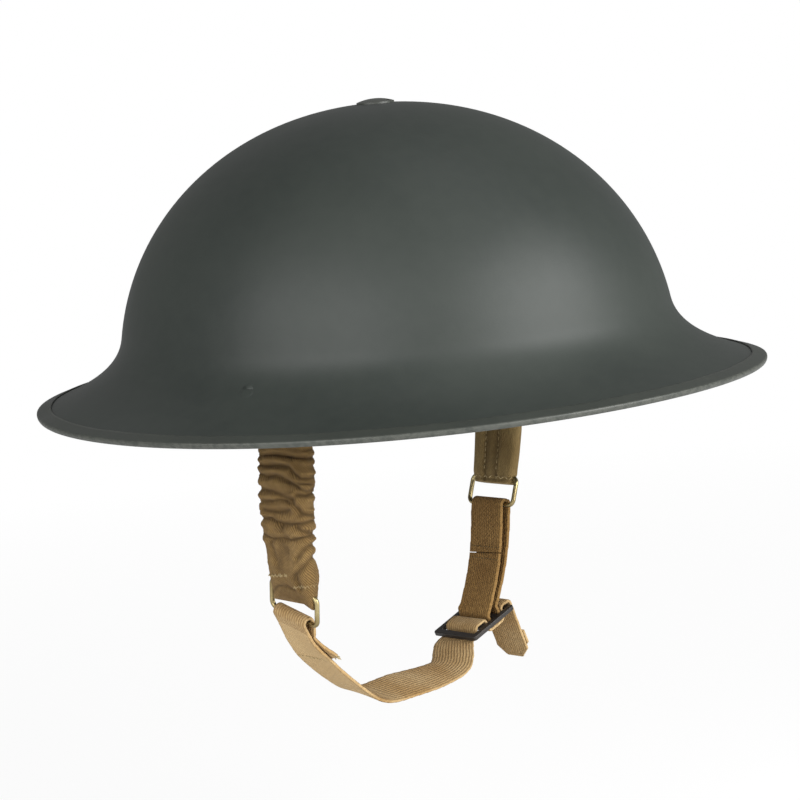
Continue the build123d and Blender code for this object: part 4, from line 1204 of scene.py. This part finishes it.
chinSizes = {
    "rim": -8.0, "spread": 94.0, "depth": 125.0, "sewnLead": 8.0, "sewnEnd": 25.5,
    "route": ((-0.800, 0.822), (-0.672, 0.893), (-0.541, 0.950), (-0.419, 0.974), (-0.301, 0.982),
              (-0.182, 0.988), (-0.056, 0.997), (0.076, 1.003), (0.215, 0.998)),
    "drift": (0, 1.1, 1.0, 0.5, 0.3, 0.3, 0.4, 0.6, 0.7),
    "yawShares": (1.0, 0.65, 0.62, 0.45, 0.3, 0.3, 0.4, 0.5, 0.7, 0.9, 1.0),
    "rollShares": (1.0, 0.3, 0.35, 0.65, 1.05, 1.35, 1.5, 1.3, 0.9, 0.45, 0.0), "fray": 4.2,
    "buckleOffset": 50.2, "buckleDrop": 112.1, "buckleShift": -2.0, "buckleTilt": 20.0,
    "buckleThickness": 2.0, "slot": 4.9, "bar": 3.1, "tail": 29.0, "tailFold": 12.0, "tailPoint": 6.0,
    "tabGap": 0.5, "tabSplit": 0.55, "tabBow": 2.9, "entryShare": 0.1, "entryLength": 1.2,
    "sewnSteps": 24, "neckLayer": 0.95, "sewnLayer": 0.97, "neckCorner": 3.0, "chinSteps": 150,
    "bow": 0.35, "bowBlend": 41, "buckleEnd": 90, "paleOuterFace": 0.8, "corner": 1.7, "tabCorner": 1.5,
    "sewnRow": 4, "sewnStitches": (-7.6, 1.9, 9), "sewnReach": 0.62,
    "loosePlaces": (5.9, 0.4, 9), "looseLength": 1.8, "looseSway": (0.8, 0.9, 0.4), "looseRoot": (0.4, 0.5),
    "tailStitches": (2.6, 1.6, 6), "tailSide": 6.4, "tailReach": 0.55,
    "tabStitches": (-8.1, 1.8, 10), "tabShift": 2.6, "tabReach": 0.6,
}
foldRadius = strapSizes["loopWire"] / 2 + strapSizes["webbingGap"] + strapSizes["webbingThickness"] / 2


# The middle of a wire loop's lower bar
def lowerBar(line):
    return line.line[-1] + line.ahead[-1] * strapSizes["loopHeight"]


# Widths of the webbing, slightly uneven along it
def webbingWidths(places, pace, seed):
    return strapSizes["webbingWidth"] - strapSizes["webbingEase"] \
        + strapSizes["webbingWander"] * waves(places * pace, seed)


# A plane that holds a strap's path: its origin, the directions along and up, and the strap's width direction
def makePlane(origin, along, across):
    along = unit(along - across * (across @ along))
    return np.array(origin, float), along, np.cross(across, along), across


def fromPlane(plane, places):
    origin, along, up, _ = plane
    places = np.asarray(places, float)
    return origin + places[:, :1] * along + places[:, 1:2] * up


# The buckle's plane: the webbing runs along it, and up is square to its face
def bucklePlane(values):
    across = widthDirection(strapSizes["yaw"], 0)
    level = np.array([-across[1], across[0], 0])
    tilt = math.radians(values["buckleTilt"])
    along = level * math.cos(tilt) + np.array([0, 0, math.sin(tilt)])
    place = np.array([values["buckleShift"], values["buckleOffset"], values["rim"] - values["buckleDrop"]])
    place = place + across * (across @ (lowerBar(leftLine) - place))
    return makePlane(place, along, across)


pitch = chinSizes["slot"] + chinSizes["bar"]
buckleLength = 3 * pitch + chinSizes["bar"]
overBar = chinSizes["buckleThickness"] / 2 + strapSizes["webbingGap"] + strapSizes["webbingThickness"] / 2
underWrap = overBar + strapSizes["webbingThickness"] + strapSizes["webbingGap"]
sideBySide = strapSizes["webbingThickness"] / 2 + strapSizes["webbingGap"]
entry = -(buckleLength / 2 + chinSizes["entryLength"])
pastEnd = buckleLength / 2 + strapSizes["webbingGap"] + strapSizes["webbingThickness"]
buckle = bucklePlane(chinSizes)


# One strip from the sewn end round the right wire loop, under the chin, through the buckle and down the tail
def makeChinWebbing(values):
    thickness, radius = strapSizes["webbingThickness"], foldRadius
    bar = lowerBar(rightLine)
    route = [np.array([x, y * values["spread"], values["rim"] - z * values["depth"]])
             for x, (y, z) in zip(values["drift"], values["route"])]
    across = widthDirection(strapSizes["yaw"], strapSizes["roll"])
    fold = makePlane(bar, unit(route[0] - bar), across)
    closed, lead = thickness * values["neckLayer"] - radius, values["sewnLead"]
    start = fromPlane(fold, [(lead, -radius)])[0]
    finish = fromPlane(buckle, [(entry, -overBar)])[0]
    last = unit(finish - route[-1]) * (1 - values["entryShare"]) + buckle[1] * values["entryShare"]
    chin = curveThrough([start, *route[1:], finish], values["chinSteps"], fold[1], last)
    low = overBar - values["tail"]
    weave = roundCorners([(entry, -overBar), (-pitch, -overBar), (-pitch, overBar), (-sideBySide, overBar),
                          (-sideBySide, -underWrap), (pitch + sideBySide, -underWrap),
                          (pitch + sideBySide, overBar), (pastEnd, overBar), (pastEnd, low)], values["corner"])
    bend = [(pastEnd + thickness / 2 - thickness / 2 * math.cos(a), low - thickness / 2 * math.sin(a))
            for a in np.linspace(0, math.pi, 9)[1:]]
    back = [(pastEnd + thickness, low + values["tailFold"])]
    second = fromPlane(buckle, np.concatenate([weave[1:], bend, back]))
    chinLengths = lengthsAlong(chin)
    shares = chinLengths / chinLengths[-1]
    steps = np.linspace(0, 1, len(values["yawShares"]))
    yaws = np.interp(shares, steps, values["yawShares"]) * strapSizes["yaw"]
    rolls = np.interp(shares, steps, values["rollShares"]) * strapSizes["roll"]
    chinSides = np.array([widthDirection(yaw, roll) for yaw, roll in zip(yaws, rolls)])
    # The sewn end lies on the strap's inner face and slips toward the front edge
    behind = np.linspace(values["sewnEnd"], lead, values["sewnSteps"])[:-1] - lead
    under = sampleRows(behind, chinLengths, chin)
    sewnSides = unit(sampleRows(behind, chinLengths, chinSides))
    inward = unit(np.cross(sampleRows(behind, chinLengths, np.gradient(chin, axis=0)), sewnSides))
    inward *= np.sign((inward @ fold[2])[:, None])
    slip = (behind / behind[0])[:, None] ** 2
    sewn = under + inward * thickness * values["sewnLayer"] + sewnSides * values["fray"] * slip
    neck = fromPlane(fold, roundCorners([(lead, closed), (lead / 3, radius), (0, radius)], values["neckCorner"]))
    turn = [(radius * math.cos(a), radius * math.sin(a)) for a in np.linspace(math.pi / 2, 1.5 * math.pi, 16)[1:]]
    first = np.concatenate([sewn, neck, fromPlane(fold, [*turn, (lead * 0.5, -radius)])])
    plain = len(first) - len(sewn)
    rough = np.concatenate([first, chin, second])
    sideways = np.concatenate([sewnSides, np.repeat(across[None], plain, 0), chinSides,
                               np.repeat(buckle[3][None], len(second), 0)])
    lengths = lengthsAlong(rough)
    keep = np.concatenate([[True], np.diff(lengths) > 1e-4])
    rough, sideways, lengths = rough[keep], sideways[keep], lengths[keep]
    places = np.linspace(0, lengths[-1], int(lengths[-1] / strapSizes["step"]))
    line = sampleRows(places, lengths, rough)
    sideways = sampleRows(places, lengths, sideways)
    # The tail's tip is narrowed on both of its layers
    tip = lengths[-1] - values["tailFold"]
    width = webbingWidths(places, 1.7, 4) - 2 * np.clip(values["tailPoint"] - np.abs(places - tip), 0, None)
    chinSpan = (places > lengthsAlong(first)[-1]) & (places < lengths[-1] - values["buckleEnd"])
    blend = values["bowBlend"]
    bow = np.convolve(np.where(chinSpan, values["bow"], 0.0), np.ones(blend) / blend, mode="same")
    stations = strapSizes["stations"]
    # The strap's outer face under the chin is drawn paler, through its edge mark
    pale = np.zeros((len(places), 2 * (stations + len(ribbonSizes["rounding"]))))
    pale[chinSpan, :stations] = values["paleOuterFace"]
    strap = ribbonMesh("chinStrap", line, sideways, width, thickness, stations=stations, bow=bow,
                       marks={"edge": pale})
    finishPiece(strap, "strapWebbing", strapBody, ["chin_webbing"])

    # Stitches that hold the sewn end
    stitches = []
    row, up = values["sewnRow"], fold[2]
    middle = under[row] - inward[row] * thickness / 2
    begin, step, count = values["sewnStitches"]
    for k in range(count):
        place = middle + sewnSides[row] * (begin + step * k)
        addStitch(stitches, place, sewnSides[row] * values["sewnReach"], -inward[row])
    # Loose threads at the sewn end's turned corner
    loose = unit(sewn[0] - sewn[1])
    corner = unit(sewnSides[0] - loose * (loose @ sewnSides[0]))
    begin, step, count = values["loosePlaces"]
    (longer, aside, lifted), (back, deep) = values["looseSway"], values["looseRoot"]
    for k in range(count):
        place = sewn[0] + corner * (begin + step * k) - loose * back + inward[0] * deep * math.sin(k * 2.1)
        end = place + loose * (values["looseLength"] + longer * math.sin(k * 1.7)) \
            + corner * aside * math.sin(k * 3.3) + up * lifted * math.cos(k * 1.3)
        stitches.append((place, end, up))
    # Stitches of the tail's folded tip
    _, along, up, side = buckle
    begin, step, count = values["tailStitches"]
    for edge in (-1, 1):
        for k in range(count):
            place = fromPlane(buckle, [(pastEnd + 1.5 * thickness, low + begin + step * k)])[0]
            addStitch(stitches, place + side * edge * values["tailSide"], up * values["tailReach"], along)
    sew("strapStitches", stitches, strapSizes["threadRadius"], "thread")


# The tab: one strip, closed round the left wire loop and one of the buckle's bars
def makeTab(values):
    thickness, radius = strapSizes["webbingThickness"], foldRadius
    offset = lowerBar(leftLine) - buckle[0]
    top = np.array([offset @ buckle[1], offset @ buckle[2]])
    foot = np.array([pitch / 2, 0])
    climb = unit(top - foot)
    out = np.array([climb[1], -climb[0]])
    frontTop, backTop = top - out * radius, top + out * radius
    frontBend = np.array([sideBySide, overBar + thickness])
    backBend = np.array([2 * foot[0] - sideBySide, overBar + 2 * thickness])
    split = frontBend + (frontTop - frontBend) * values["tabSplit"]
    gap = unit(frontTop - split) * values["tabGap"] / 2
    lower = roundCorners([split - gap, frontBend, (frontBend[0], -overBar), (backBend[0], -overBar), backBend,
                          backTop], values["tabCorner"])
    turn = [top + radius * (out * math.cos(a) + climb * math.sin(a)) for a in np.linspace(0, math.pi, 14)[1:]]
    path = np.concatenate([lower, turn, [split + gap]])
    line = fromPlane(buckle, evenSteps(path, int(lengthsAlong(path)[-1] / strapSizes["step"])))
    width = webbingWidths(lengthsAlong(line), 1.9, 2)
    # The tab bows forward between its ends
    rise = np.clip((line - buckle[0]) @ buckle[2] / (top[1] + 0.01), 0, 1)
    line = line + buckle[3] * (values["tabBow"] * np.sin(math.pi * rise))[:, None]
    tab = ribbonMesh("adjusterTab", line, buckle[3], width, thickness, stations=strapSizes["stations"])
    finishPiece(tab, "tabWebbing", strapBody, ["adjuster_tab"])

    # Two rows of stitches, where the tab's ends meet
    stitches = []
    facing = unit(buckle[1] * -out[0] + buckle[2] * -out[1])
    begin, step, count = values["tabStitches"]
    for shift in (-values["tabShift"], values["tabShift"]):
        seam = fromPlane(buckle, [split + unit(frontTop - split) * shift - out * (thickness / 2)])[0]
        for k in range(count):
            place = seam + buckle[3] * (values["tabBow"] + begin + step * k)
            addStitch(stitches, place, buckle[3] * values["tabReach"], facing)
    sew("tabStitches", stitches, strapSizes["threadRadius"], "darkThread")


makeChinWebbing(chinSizes)
makeTab(chinSizes)
print("webbing made")
